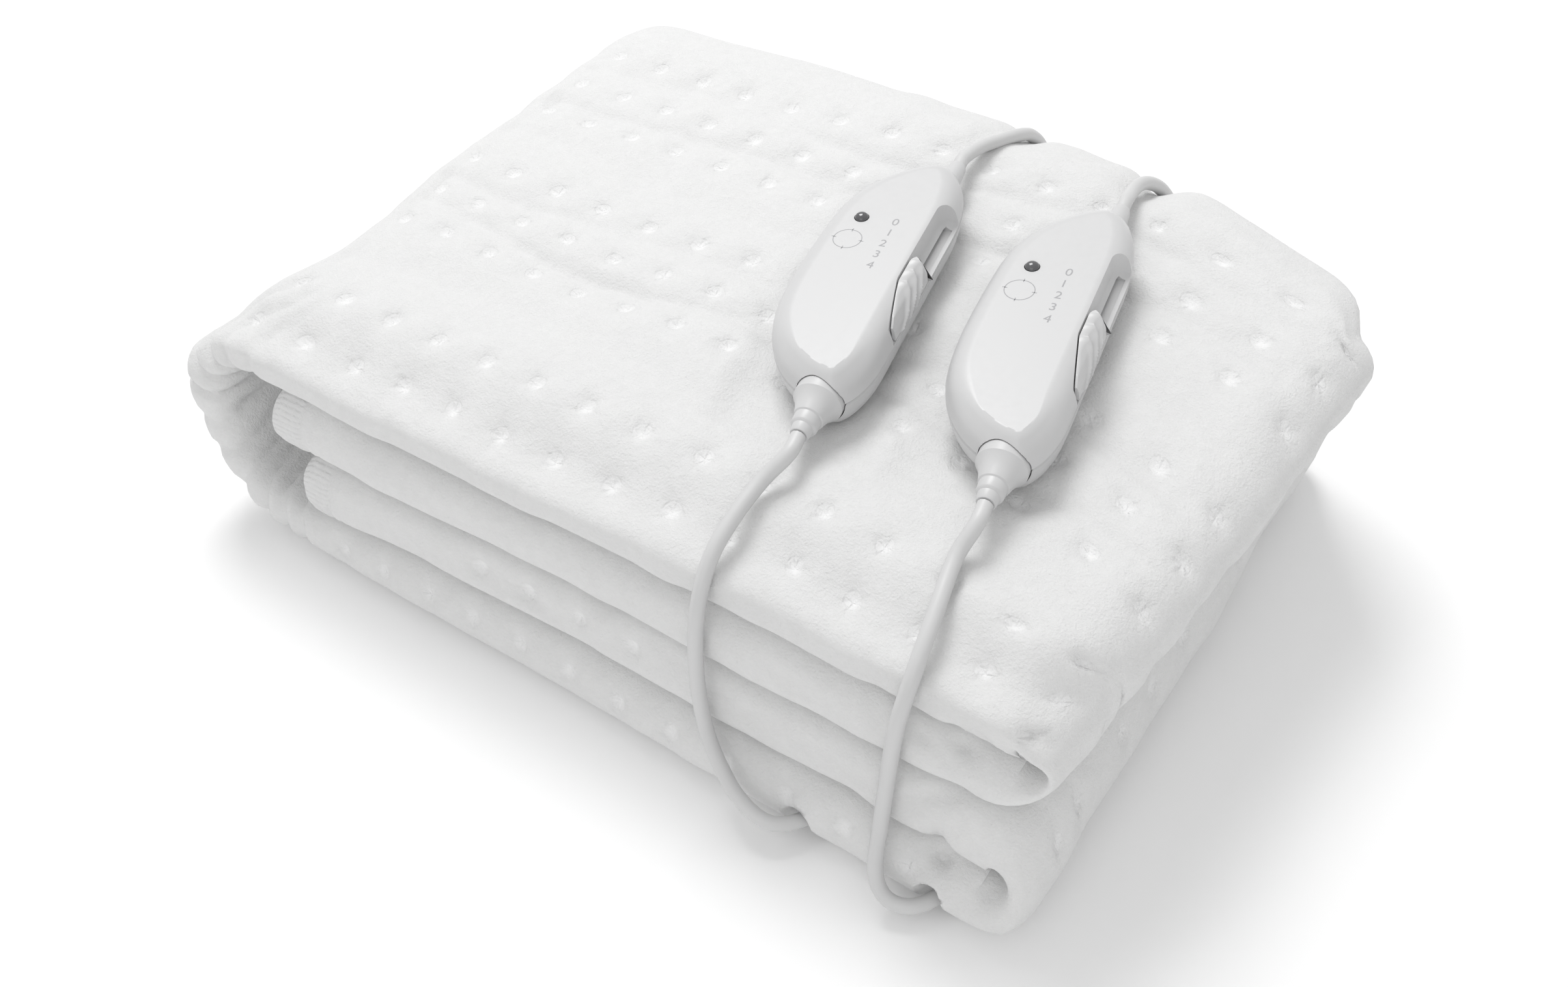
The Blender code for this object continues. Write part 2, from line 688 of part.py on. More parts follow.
def prism(name, corners, start, end):
    """A cutter: (x, z) corners extruded along Y."""
    return mesh_from(name, [(x, y, z) for y in (start, end) for x, z in corners], [
        tuple(range(len(corners))),
        tuple(range(len(corners), 2 * len(corners))),
        *[
            (index, (index + 1) % len(corners), len(corners) + (index + 1) % len(corners), len(corners) + index)
            for index in range(len(corners))
        ],
    ], smooth=False)


def cutter(name, data, frame):
    made = bpy.data.objects.new(name, data)
    bpy.context.scene.collection.objects.link(made)
    made.matrix_world = frame
    made.hide_render = True
    made.display_type = "WIRE"
    return made


def cut(target, tools, operation="DIFFERENCE"):
    for tool in tools:
        change = target.modifiers.new(tool.name, "BOOLEAN")
        change.operation = operation
        change.solver = "EXACT"
        change.object = tool


# ---------------------------------------------------------------- controllers
def controller_frame(name):
    x, y = CONTROLLERS[name]
    return Matrix.Translation((x, y, CONTROLLER_Z)) @ Matrix.Rotation(CONTROLLER_TURN, 4, "Z")


def housing_ring(height, inset, bevel):
    """The controller's outline at one height, moved in by inset, and further in at the strain relief's end."""
    line = smooth_line([(x, y, 0.0) for x, y in OUTLINE], OUTLINE_STEP, closed=True)
    ring = []
    for index, point in enumerate(line):
        ahead = line[(index + 1) % len(line)] - line[index - 1]
        inward = Vector((-ahead.y, ahead.x, 0.0)).normalized()
        low_end = float(ease((-0.030 - point.y + 0.5 * min(point.x, 0.0)) / 0.030))
        moved = point + inward * (inset + bevel * low_end)
        ring.append((moved.x, moved.y, height))
    return ring


def add_controller(name, shell, lamp_finish):
    frame = controller_frame(name)
    base = place(f"base_shell_{name}", loft("base", [housing_ring(z, inset, 0.0) for z, inset in BASE_RINGS]), shell)
    top = place(
        f"top_shell_{name}",
        loft("top", [
            housing_ring(z, inset, BEVEL_REACH * (z - TOP_RINGS[0][0]) / (TOP_RINGS[-1][0] - TOP_RINGS[0][0]))
            for z, inset in TOP_RINGS
        ]),
        shell,
    )
    for part in (base, top):
        part.matrix_world = frame

    x, y, z = RELIEF_PLACE
    relief_hole = cutter(
        f"relief_hole_{name}",
        turned("hole", ((0.0, RELIEF_PROFILE[0][1] + CLEAR), (0.03, RELIEF_PROFILE[0][1] + CLEAR)),
               (x, y + RELIEF_SUNK + CLEAR, z), (0, -1, 0), 20),
        frame,
    )
    relief = place(f"strain_relief_{name}", turned("relief", RELIEF_PROFILE, (x, y + RELIEF_SUNK, z), (0, -1, 0), 20),
                   shell)
    relief.matrix_world = frame

    x, y, z = SLEEVE_PLACE
    sleeve_hole = cutter(
        f"sleeve_hole_{name}",
        turned("hole", ((0.0, SLEEVE_PROFILE[0][1] + CLEAR), (0.03, SLEEVE_PROFILE[0][1] + CLEAR)),
               (x, y - SLEEVE_SUNK - CLEAR, z), (0, 1, 0), 12),
        frame,
    )
    sleeve = place(f"nose_sleeve_{name}", turned("sleeve", SLEEVE_PROFILE, (x, y - SLEEVE_SUNK, z), (0, 1, 0), 12),
                   shell)
    sleeve.matrix_world = frame

    channel = cutter(
        f"channel_{name}",
        prism("channel", (
            (wall_x(0.030), 0.030), (wall_x(CHANNEL_FLOOR), CHANNEL_FLOOR), (0.030, CHANNEL_FLOOR), (0.030, 0.030),
        ), *CHANNEL),
        frame,
    )
    slot = cutter(
        f"slot_{name}",
        prism("slot", ((SLOT_IN, SLOT_LOW), (0.016, SLOT_LOW), (0.016, SLOT_HIGH), (SLOT_IN, SLOT_HIGH)), *SLOT_RUN),
        frame,
    )
    lamp_x, lamp_y = LAMP_PLACE
    lamp_hole = cutter(
        f"lamp_hole_{name}",
        turned("hole", ((0.0, LAMP_RADIUS + CLEAR), (0.01, LAMP_RADIUS + CLEAR)),
               (lamp_x, lamp_y, TOP_RINGS[-1][0] - LAMP_SUNK - CLEAR), (0, 0, 1), 12),
        frame,
    )
    cut(base, (relief_hole, sleeve_hole))
    cut(top, (relief_hole, sleeve_hole, channel, slot, lamp_hole))
    dome = [(0.0, LAMP_RADIUS), (LAMP_SUNK, LAMP_RADIUS)]
    for step in (1, 2, 3):
        angle = math.pi / 2 * step / 3.4
        dome.append((LAMP_SUNK + LAMP_RADIUS * 0.7 * math.sin(angle), LAMP_RADIUS * math.cos(angle)))
    lamp = place(f"lamp_{name}", turned("lamp", dome, (lamp_x, lamp_y, TOP_RINGS[-1][0] - LAMP_SUNK), (0, 0, 1), 12),
                 lamp_finish)
    lamp.matrix_world = frame
    add_slider(name, frame, shell)


def wall_x(z):
    """The channel's inner wall leans in towards the top."""
    return CHANNEL_WALL - 0.143 * (z - CHANNEL_FLOOR)


def add_slider(name, frame, shell):
    """The thumb slide, with three curved ridges, and the stem that runs in the slot."""
    rings = []
    low = CHANNEL_FLOOR + CLEAR + 0.0002
    ridge_reach = 0.006
    for share, size, proud in SLIDER_STATIONS:
        y = SLIDER_LOW + SLIDER_LENGTH * share
        tall = SLIDER_LOW_SHARE + (1 - SLIDER_LOW_SHARE) * size
        ring = [(wall_x(low) + SLIDER_WALL, low)]
        for z, x in SLIDER_FACE:
            ring.append((wall_x(z) + (x - wall_x(z)) * size + proud, low + (z - low) * tall))
        high = low + (SLIDER_TOP - low) * tall
        ring.append((wall_x(high) + SLIDER_WALL + 0.0001, high))
        # The ridges sweep down towards the slide's lower tip as they go outwards.
        rings.append([(x, y - SLIDER_SWEEP * (x - ring[0][0]) / ridge_reach, z) for x, z in ring])
    slider = place(f"slider_{name}", loft("slider", rings), shell)
    slider.matrix_world = frame
    share, reach = STEM_RUN
    middle = SLIDER_LOW + SLIDER_LENGTH * share
    stem = cutter(
        f"stem_{name}",
        prism("stem", (
            (SLOT_IN + 0.0006, SLOT_LOW + CLEAR), (0.0150, SLOT_LOW + CLEAR),
            (0.0150, SLOT_HIGH - CLEAR), (SLOT_IN + 0.0006, SLOT_HIGH - CLEAR),
        ), middle - reach, middle + reach),
        frame,
    )
    cut(slider, (stem,), "UNION")


# ---------------------------------------------------------------- cords, coils and plugs
def tube(name, route, finish):
    """A cord along its route, with filled ends that stand square to its first and last stretches."""
    line = smooth_line(route, CORD_STEP)
    first = (Vector(route[1]) - Vector(route[0])).normalized()
    last = (Vector(route[-2]) - Vector(route[-1])).normalized()
    line = [line[0], line[0] + first * SQUARE_END, *line[1:-1], line[-1] + last * SQUARE_END, line[-1]]
    data = bpy.data.curves.new(name, "CURVE")
    data.dimensions = "3D"
    data.bevel_depth = CORD_DIAMETER / 2
    data.bevel_resolution = 2
    data.use_fill_caps = True
    spline = data.splines.new("POLY")
    spline.points.add(len(line) - 1)
    for corner, point in zip(spline.points, line):
        corner.co = (*point, 1.0)
    return place(name, data, finish)


def lower_route(name):
    """From the end of the strain relief to the groove under the pack."""
    x, y, z = RELIEF_PLACE
    frame = controller_frame(name)
    out = RELIEF_PROFILE[-1][0] - RELIEF_SUNK + CLEAR
    return [frame @ Vector((x, y - out, z)), frame @ Vector((x, y - out - 0.008, z - 0.0004)),
            *[Vector(point) for point in LOWER_ROUTES[name]]]


def upper_route(name):
    """From the end of the nose's sleeve, over the back edge and down to the coil."""
    x, y, z = SLEEVE_PLACE
    frame = controller_frame(name)
    out = SLEEVE_PROFILE[-1][0] - SLEEVE_SUNK + CLEAR
    return [frame @ Vector((x, y + out, z)), frame @ Vector((x, y + out + 0.006, z)),
            *[Vector(point) for point in UPPER_ROUTES[name]]]


def ring_section(width, height, corner):
    """A rounded rectangle as (out, up) pairs round its middle."""
    points = []
    for side_x, side_z, start in ((1, 1, 0), (-1, 1, 90), (-1, -1, 180), (1, -1, 270)):
        for turn in (0, 45, 90):
            angle = math.radians(start + turn)
            points.append((
                side_x * (width / 2 - corner) + corner * math.cos(angle),
                side_z * (height / 2 - corner) + corner * math.sin(angle),
            ))
    return points


def ring_about(name, section, radius, centre, sides):
    """A closed ring: the section turned about a vertical axis."""
    points, faces = [], []
    size = len(section)
    for side in range(sides):
        angle = 2 * math.pi * side / sides
        for out, up in section:
            points.append((
                centre[0] + (radius + out) * math.cos(angle),
                centre[1] + (radius + out) * math.sin(angle),
                centre[2] + up,
            ))
    for side in range(sides):
        for index in range(size):
            here, there = side * size, ((side + 1) % sides) * size
            following = (index + 1) % size
            faces.append((here + index, here + following, there + following, there + index))
    return mesh_from(name, points, faces)


def add_coil(name, finish, tie_finish):
    """The wound turns as one ring, and the tie round them."""
    x, y = COILS[name]
    width, height = COIL_SECTION
    centre = (x, y, COIL_FOOT + height / 2)
    place(f"mains_coil_{name}", ring_about("coil", ring_section(width, height, 0.004), COIL_TURN_RADIUS, centre, 32),
          finish)
    tie_width, thick = TIE_SIZE
    inner = ring_section(width + 2 * CLEAR, height + 2 * CLEAR, 0.004)
    outer = ring_section(width + 2 * (CLEAR + thick), height + 2 * (CLEAR + thick), 0.005)
    angle = TIE_ANGLE
    along = Vector((-math.sin(angle), math.cos(angle), 0.0))
    away = Vector((math.cos(angle), math.sin(angle), 0.0))
    middle = Vector(centre) + away * COIL_TURN_RADIUS
    points, faces = [], []
    size = len(inner)
    for loop, shift in ((inner, -1), (outer, -1), (outer, 1), (inner, 1)):
        for out, up in loop:
            points.append(middle + away * out + Vector((0, 0, up)) + along * shift * tie_width / 2)
    for layer in range(4):
        for index in range(size):
            following = (index + 1) % size
            above = ((layer + 1) % 4) * size
            faces.append((layer * size + index, layer * size + following, above + following, above + index))
    place(f"coil_tie_{name}", mesh_from("tie", points, faces), tie_finish)


def plug_frame(name):
    x, y = COILS[name]
    return (
        Matrix.Translation((x + PLUG_PLACE[0], y + PLUG_PLACE[1], PLUG_ROWS[0][2] / 2 + CLEAR))
        @ Matrix.Rotation(PLUG_TURN, 4, "Z")
    )


def add_plug(name, finish, metal):
    """A flat two-pin plug with its moulded strain relief, lying on the floor."""
    rings = []
    for along, wide, tall in PLUG_ROWS:
        ring = []
        for side in range(PLUG_SIDES):
            angle = 2 * math.pi * (side + 0.5) / PLUG_SIDES
            across, up = math.cos(angle), math.sin(angle)
            ring.append((
                wide / 2 * math.copysign(abs(across) ** 0.55, across),
                along,
                tall / 2 * math.copysign(abs(up) ** 0.55, up),
            ))
        rings.append(ring)
    place(f"plug_body_{name}", loft("plug", rings), finish).matrix_world = plug_frame(name)
    for side, word in ((-1, "a"), (1, "b")):
        pin = place(
            f"plug_pin_{word}_{name}",
            turned("pin", ((0.0, PIN_RADIUS), (PIN_LENGTH - 0.001, PIN_RADIUS), (PIN_LENGTH, PIN_RADIUS * 0.6)),
                   (side * PIN_APART, -CLEAR, 0.0), (0, -1, 0), 10),
            metal,
        )
        pin.matrix_world = plug_frame(name)


def tail_route(name):
    """From the coil's outer turn to the plug's strain relief."""
    x, y = COILS[name]
    start = Vector(TAIL_START) + Vector((x, y, 0.0))
    behind = PLUG_ROWS[-1][0] + CLEAR
    frame = plug_frame(name)
    return [start, frame @ Vector((0, behind + 0.010, -0.0002)), frame @ Vector((0, behind, 0))]


def groove(name):
    """The hollow that the cord presses into the pack's underside, as a cutter."""
    end, before = (Vector(LOWER_ROUTES[name][index]) for index in (-1, -2))
    along = end - before
    along.z = 0
    along.normalize()
    frame = Matrix.Translation((end.x, end.y, 0.0)) @ along.to_track_quat("Y", "Z").to_matrix().to_4x4()
    half = GROOVE_WIDTH / 2
    corners = [(-half, -0.010), (half, -0.010)]
    for step in range(5):
        angle = math.pi * step / 4
        corners.append((half * math.cos(angle), GROOVE_HEIGHT - half + half * math.sin(angle)))
    return cutter(f"groove_{name}", prism("groove", corners, -0.060, CLEAR), frame)


def main():
    for old in list(bpy.data.objects):
        bpy.data.objects.remove(old)
    fleece = material("fleece", FLEECE, 0.95)
    shell = material("shell", SHELL, 0.45)
    jacket = material("cord_jacket", CORD, 0.5)
    dark = material("lamp_lens", LAMP, 0.15)
    metal = material("pin_metal", METAL, 0.25, 1.0)
    cloth = place("blanket", blanket(), fleece)
    cut(cloth, [groove(name) for name in CONTROLLERS])
    for name in CONTROLLERS:
        add_controller(name, shell, dark)
        tube(f"blanket_lead_{name}", lower_route(name), jacket)
        tube(f"mains_lead_{name}", upper_route(name), jacket)
        add_coil(name, jacket, dark)
        tube(f"mains_tail_{name}", tail_route(name), jacket)
        add_plug(name, shell, metal)


main()
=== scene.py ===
"""Dresses the folded electric underblanket and its two controllers.

One operator makes each piece, or each group of like pieces, from the sizes and colours in its own
settings group. X runs along the pack, Y from its front to its back, Z up. Lengths are in metres.
"""

import json
import math

import bmesh
import bpy
import numpy as np
from bpy.props import FloatProperty, FloatVectorProperty, IntProperty, PointerProperty
from bpy.types import Operator, Panel, PropertyGroup
from mathutils import Matrix, Vector

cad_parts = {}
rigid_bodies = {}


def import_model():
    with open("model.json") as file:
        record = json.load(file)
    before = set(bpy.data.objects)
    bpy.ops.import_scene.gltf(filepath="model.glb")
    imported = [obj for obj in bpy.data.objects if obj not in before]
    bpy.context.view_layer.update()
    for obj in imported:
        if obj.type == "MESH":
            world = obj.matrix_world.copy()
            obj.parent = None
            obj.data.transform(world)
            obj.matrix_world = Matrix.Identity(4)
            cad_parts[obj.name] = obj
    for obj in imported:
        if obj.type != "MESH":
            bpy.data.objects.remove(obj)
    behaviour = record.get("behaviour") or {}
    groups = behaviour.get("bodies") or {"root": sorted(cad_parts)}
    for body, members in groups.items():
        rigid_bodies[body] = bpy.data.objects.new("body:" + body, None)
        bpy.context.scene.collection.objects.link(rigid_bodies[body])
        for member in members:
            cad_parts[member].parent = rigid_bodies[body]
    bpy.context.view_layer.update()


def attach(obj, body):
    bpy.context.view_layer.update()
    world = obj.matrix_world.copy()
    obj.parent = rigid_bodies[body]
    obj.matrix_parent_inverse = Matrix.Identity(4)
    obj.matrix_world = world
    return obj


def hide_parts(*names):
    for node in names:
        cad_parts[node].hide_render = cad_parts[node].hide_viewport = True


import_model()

bl_info = {
    "name": "Electric underblanket",
    "version": (1, 0, 0),
    "blender": (4, 5, 0),
    "location": "3D Viewport > Sidebar > Underblanket",
    "description": "Dresses the folded electric underblanket and its two controllers",
    "category": "Object",
}

SIDES = ("left", "right")

# ---------------------------------------------------------------- sizes shared with the solids
BAND = 0.0267  # height that each of the four bands takes
STRIP = 0.0259
LAYERS = 3
LAYER_GAP = 0.0008
FRONT = -0.130
BACK = 0.145
END_X = 0.2035
SPINE_X = -0.150
SPINE_REACH = 0.031
SPINE_LEAN = 0.012
SPINE_POWER = 2.5
HEM_UPPER_X = -0.1445
HEM_LOWER_X = -0.1370
BEND_SQUEEZE = 0.70
PITCH = 0.0254
FIRST_COLUMN_X = -0.1613
TOP_ROWS = (0.1021, 0.0759, 0.0528, 0.0064, -0.0170, -0.0411, -0.0914, -0.1130)
FRONT_SPOTS = (
    # first x, number, height
    (-0.1232, 12, 0.0165),
    (-0.0430, 4, 0.0420),
)
BAND_FRONTS = (
    # height, left y, right y
    (0.0133, -0.1480, -0.1465),
    (0.0400, -0.1400, -0.1350),
    (0.0667, -0.1380, -0.1310),
    (0.0934, -0.1300, -0.1240),
)
FRONT_LEFT_X, FRONT_RIGHT_X = -0.140, 0.140
FRONT_CORNERS = (
    # height, radius
    (0.020, 0.008),
    (0.040, 0.014),
    (0.070, 0.026),
)
SPINE_FRONT_CORNER = (0.2020, 0.010)
BACK_CORNER = 0.022
SPINE_BACK_CORNER = (0.164, 0.034)
BACK_PULL = 0.009
SPINE_BULGE = 0.0165
UPPER_SPREAD = 0.0150
LOWER_TAPER = 0.0060
DRIFT_START = 0.100
DRIFT_BEND = 0.036
DRIFT_SLOPE = 0.349
CORD_DENTS = (
    # x, start of the dent in y, depth, which is less than in the solids
    (0.0405, 0.1180, 0.0034),
    (0.1020, 0.1080, 0.0044),
)
DENT_HALF_WIDTH = 0.0085
# Each pair is where a gradual change starts and the distance that it takes.
FRONT_REACH = (0.050, 0.080)
FRONT_DRIFT_END = (-0.125, 0.090)
BACK_REACH = (0.085, 0.060)
BACK_PULL_REACH = (0.030, 0.110)
BULGE_LEFT = (0.120, 0.050)
BULGE_FRONT = (0.060, 0.080)
BULGE_UP = (0.012, 0.040)
SPREAD_RIGHT = (0.120, 0.070)
SPREAD_ALONG = (-0.130, 0.220)
CREST = (0.060, 0.036)
FRONT_THIN, FRONT_THIN_REACH = 0.40, (0.088, 0.034)
BACK_THIN, BACK_THIN_REACH = 0.22, (0.115, 0.030)
DENT_REACH = 0.020
DENT_TOP = (0.078, 0.020)
DENT_BACK = (0.130, 0.012)
DENT_BACK_UP = (0.030, 0.050)
PRESS = 0.0022
PRESS_ACROSS = (0.018, 0.018)
PRESS_ALONG = (0.058, 0.022)
PRESS_MIDDLE = -0.005
TROUGHS = (
    # y, depth, half width
    (0.0890, 0.0012, 0.006),
    (0.0640, 0.0016, 0.006),
    (0.0300, 0.0008, 0.012),
    (-0.0050, 0.0012, 0.006),
    (-0.0290, 0.0016, 0.006),
    (-0.0660, 0.0008, 0.012),
)
NOSE_DEPTH = 0.0135
NOSE_INSIDE = 0.0078
BACK_FOLD_DEPTH = 0.0100
BACK_FOLD_INSIDE = 0.0125
FREE_EDGE_IN = 0.0040
INNER_EDGE_IN = 0.0015
FOLD_SQUARENESS = 0.8
# The upper band of each pair sags over its fold at the front, and bulges out to the right.
DROOP, DROOP_REACH = 0.0060, (0.125, 0.065)
DROOP_FRONT = (0.080, 0.045)
DROOP_OUT, DROOP_OUT_START, DROOP_OUT_END = 0.0125, (0.145, 0.034), (0.183, 0.026)
DROOP_SHARES = (
    # fold, counted in bands from the floor, and its share
    (1, 0.55),
    (3, 1.0),
)
GAP_SHARE = 0.80  # how deep the gap inside the doubled cloth lies under the outer face
BACK_GAP_DEPTH = 0.004
NOSE_SHOWN, NOSE_SHOWN_STEP = 0.060, 0.004  # the strip's inner face is seen this far behind its front
HIDDEN_ROW_STEP = 0.045
BEND_STEPS = 20
SPINE_STEPS = 56
HEM_RUN = 2.2  # hem widths that are followed closely
GROOVE_WIDTH, GROOVE_HEIGHT, GROOVE_LENGTH = 0.0105, 0.0150, 0.060
# No noise moves the cloth at a cord or under a controller.
STILL_CORD = (0.006, 0.014)
STILL_ACROSS = (0.024, 0.012)
STILL_ALONG = (0.068, 0.014)
CREASE_LIMIT = 0.0060
HEM_RIB_PITCH, HEM_RIB_HEIGHT = 0.0022, 0.00013
HEM_THIN, HEM_THIN_REACH = 0.14, (0.0, 0.0030)
HEM_SHARE = 0.92  # share of the hem's width before its ribs fade out
SEAM_LINES = (
    # hem widths from the edge, half width, share of the seam's depth
    (1.0, 0.0011, 1.0),
    (1.35, 0.0009, 0.4),
)
WELD_HEIGHT = 0.00011
WELD_REACH = (0.0055, 0.0035)
TROUGH_SWING, TROUGH_SWING_LENGTH = 0.0035, 0.033
TROUGH_SWELL, TROUGH_SWELL_NOISE, TROUGH_SWELL_CELL = 0.55, 0.9, 0.060
GATHER_LEFT = (-SPINE_X - 0.014, 0.016)
GATHER_FRONT = (FRONT + 0.010, 0.045)
GATHER_SLANT, GATHER_SWING = 0.35, 0.9
GATHER_CELL = (0.022, 0.030)
SLUMP_CELL = (0.070, 0.055, 0.035)
RIPPLE_CELL = 0.016
ON_FLOOR, ON_FLOOR_SLIDE = (0.001, 0.014), 0.3

CREASES = (
    # start, end, depth, width
    ((0.1700, -0.1240, 0.0830), (0.1800, -0.1230, 0.0800), 0.0060, 0.0030),
    ((0.1840, -0.1225, 0.0860), (0.1895, -0.1222, 0.0780), 0.0060, 0.0026),
    ((0.1890, -0.1190, 0.0900), (0.1930, -0.1190, 0.0880), 0.0040, 0.0022),
    ((0.1640, -0.1240, 0.0830), (0.1730, -0.1240, 0.0640), 0.0032, 0.0034),
    ((0.1480, -0.1280, 0.0760), (0.1720, -0.1260, 0.0600), 0.0028, 0.0036),
    ((0.1640, -0.1350, 0.0330), (0.1690, -0.1370, 0.0120), 0.0055, 0.0030),
    ((0.1840, -0.1380, 0.0180), (0.1850, -0.1380, 0.0080), 0.0030, 0.0026),
    ((0.1710, -0.1300, 0.0560), (0.1500, -0.1360, 0.0380), 0.0026, 0.0040),
    ((0.1340, -0.1260, 0.0880), (0.1420, -0.1330, 0.0640), 0.0030, 0.0040),
    ((0.0300, -0.1360, 0.0530), (0.0900, -0.1360, 0.0380), 0.0026, 0.0046),
    ((-0.0500, -0.1360, 0.0450), (0.0100, -0.1380, 0.0330), 0.0024, 0.0050),
    ((0.0900, -0.1330, 0.0720), (0.1250, -0.1330, 0.0600), 0.0026, 0.0042),
    ((-0.0800, -0.1330, 0.0700), (-0.0300, -0.1350, 0.0600), 0.0022, 0.0046),
    ((0.0980, -0.1390, 0.0200), (0.1300, -0.1400, 0.0080), 0.0026, 0.0040),
)

CONTROLLERS = {
    # side: (x, y)
    "left": (0.050, 0.008),
    "right": (0.1202, 0.0132),
}
CONTROLLER_TURN = math.radians(12.8)
CONTROLLER_Z = 0.1048
OUTLINE = (
    # across, along
    (0.0185, -0.050),
    (0.0190, -0.020),
    (0.0188, 0.015),
    (0.0183, 0.040),
    (0.0140, 0.058),
    (0.0050, 0.0660),
    (-0.0060, 0.0625),
    (-0.0185, 0.0500),
    (-0.0262, 0.0330),
    (-0.0283, 0.0100),
    (-0.0283, -0.0200),
    (-0.0245, -0.0400),
    (-0.0140, -0.0560),
    (0.0000, -0.0650),
    (0.0120, -0.0655),
)
BASE_RINGS = (
    # height, inset
    (0.0000, 0.0065),
    (0.0008, 0.0045),
    (0.0022, 0.0026),
    (0.0042, 0.0013),
    (0.0070, 0.0005),
    (0.0106, 0.0000),
    (0.0112, 0.0006),
)
TOP_RINGS = (
    # height, inset
    (0.0115, 0.0006),
    (0.0120, 0.0000),
    (0.0140, 0.0001),
    (0.0165, 0.0006),
    (0.0188, 0.0013),
    (0.0207, 0.0024),
    (0.0222, 0.0039),
    (0.0231, 0.0055),
    (0.0237, 0.0071),
    (0.0240, 0.0088),
)
END_RINGS = (
    # height, inset at the strain relief's end
    (0.0115, 0.0006),
    (0.0120, 0.0000),
    (0.0165, 0.0005),
    (0.0182, 0.0011),
    (0.0222, 0.0045),
    (0.0232, 0.0055),
    (0.0240, 0.0070),
)
END_REACH = (0.036, 0.018)
CHANNEL = (-0.0315, 0.0410)
CHANNEL_FLOOR = 0.0125
CHANNEL_WALL = 0.0128
SLOT_IN, SLOT_OUT = 0.0040, 0.0172
SLOT_LOW, SLOT_HIGH = 0.0121, 0.0139
SLOT_RUN = (-0.0240, 0.0365)
SLIDER_LOW = -0.0295
SLIDER_LENGTH = 0.0360
SLIDER_FACE = (
    # height, across
    (0.0132, 0.0192),
    (0.0165, 0.0190),
    (0.0205, 0.0174),
    (0.0228, 0.0152),
)
SLIDER_RIDGES = (
    # share of the length, height
    (0.56, 0.0010),
    (0.74, 0.0012),
    (0.92, 0.0012),
)
SLIDER_RIDGE_SWEEP = 0.38
SLIDER_ROUND = 0.0035
SLIDER_SIDE = 0.0186
SLIDER_STEPS = 16
SLIDER_TIP_X = 0.0178
CHANNEL_TAPER = 0.0230  # distance over which the recess runs out to the side
CHANNEL_END = 0.0070
CUTTER_EDGE = 0.030  # beyond the housing, across and above
HOLLOW_RADIUS = 0.0048
HOUSING_SIDE = 0.0188
HOUSING_EDGE_ANGLE = 28
CLEAR = 0.0003
LAMP_PLACE = (-0.0130, 0.0210)
LAMP_RADIUS = 0.0026
LAMP_SUNK = 0.0012
RELIEF_PROFILE = (
    # distance along the cord, radius
    (0.0000, 0.0086),
    (0.0005, 0.0091),
    (0.0046, 0.0091),
    (0.0052, 0.0086),
    (0.0072, 0.0073),
    (0.0096, 0.0063),
    (0.0120, 0.0057),
    (0.0126, 0.0055),
    (0.0130, 0.0050),
    (0.0166, 0.0048),
    (0.0170, 0.0046),
    (0.0176, 0.0039),
    (0.0205, 0.0035),
    (0.0210, 0.0032),
)
RELIEF_PLACE = (0.0040, -0.0655, 0.0116)
RELIEF_SUNK = 0.0040
RELIEF_HOLE = 0.0095
SLEEVE_PROFILE = (
    # distance along the cord, radius
    (0.0000, 0.0046),
    (0.0100, 0.0041),
    (0.0190, 0.0035),
    (0.0200, 0.0032),
)
SLEEVE_PLACE = (0.0040, 0.0655, 0.0085)
SLEEVE_SUNK = 0.0045
SLEEVE_HOLE = 0.0049
HOLE_LENGTH = 0.03

BADGE_PLACE = (-0.0134, 0.0075)
BADGE_RADIUS = 0.0054
DIGITS_PLACE = (0.0004, 0.0214)
DIGITS_PITCH = 0.00652
DIGIT_SIZE = 0.0056
PRINT_PROUD = 0.00003
HEAT_SETTINGS = 5
RING_STEPS = 72
RING_LINE = 0.00017
TICK_REACH = 0.0009
TICK_LINE = 0.00018

# ---------------------------------------------------------------- cords
LOWER_ROUTES = {
    "left": (
        (0.0700, -0.0900, 0.1105), (0.0690, -0.1060, 0.1060), (0.0695, -0.1206, 0.1000),
        (0.0700, -0.1316, 0.0852), (0.0695, -0.1378, 0.0590), (0.0725, -0.1425, 0.0340),
        (0.0815, -0.1480, 0.0235), (0.0945, -0.1530, 0.0160), (0.1068, -0.1520, 0.0110),
        (0.1165, -0.1400, 0.0085), (0.1270, -0.1262, 0.0070),
    ),
    "right": (
        (0.1430, -0.0850, 0.1100), (0.1480, -0.1060, 0.1055), (0.1510, -0.1222, 0.0982),
        (0.1500, -0.1322, 0.0805), (0.1475, -0.1365, 0.0540), (0.1470, -0.1425, 0.0310),
        (0.1498, -0.1512, 0.0170), (0.1558, -0.1535, 0.0088), (0.1642, -0.1500, 0.0070),
        (0.1705, -0.1385, 0.0068), (0.1765, -0.1260, 0.0068),
    ),
}
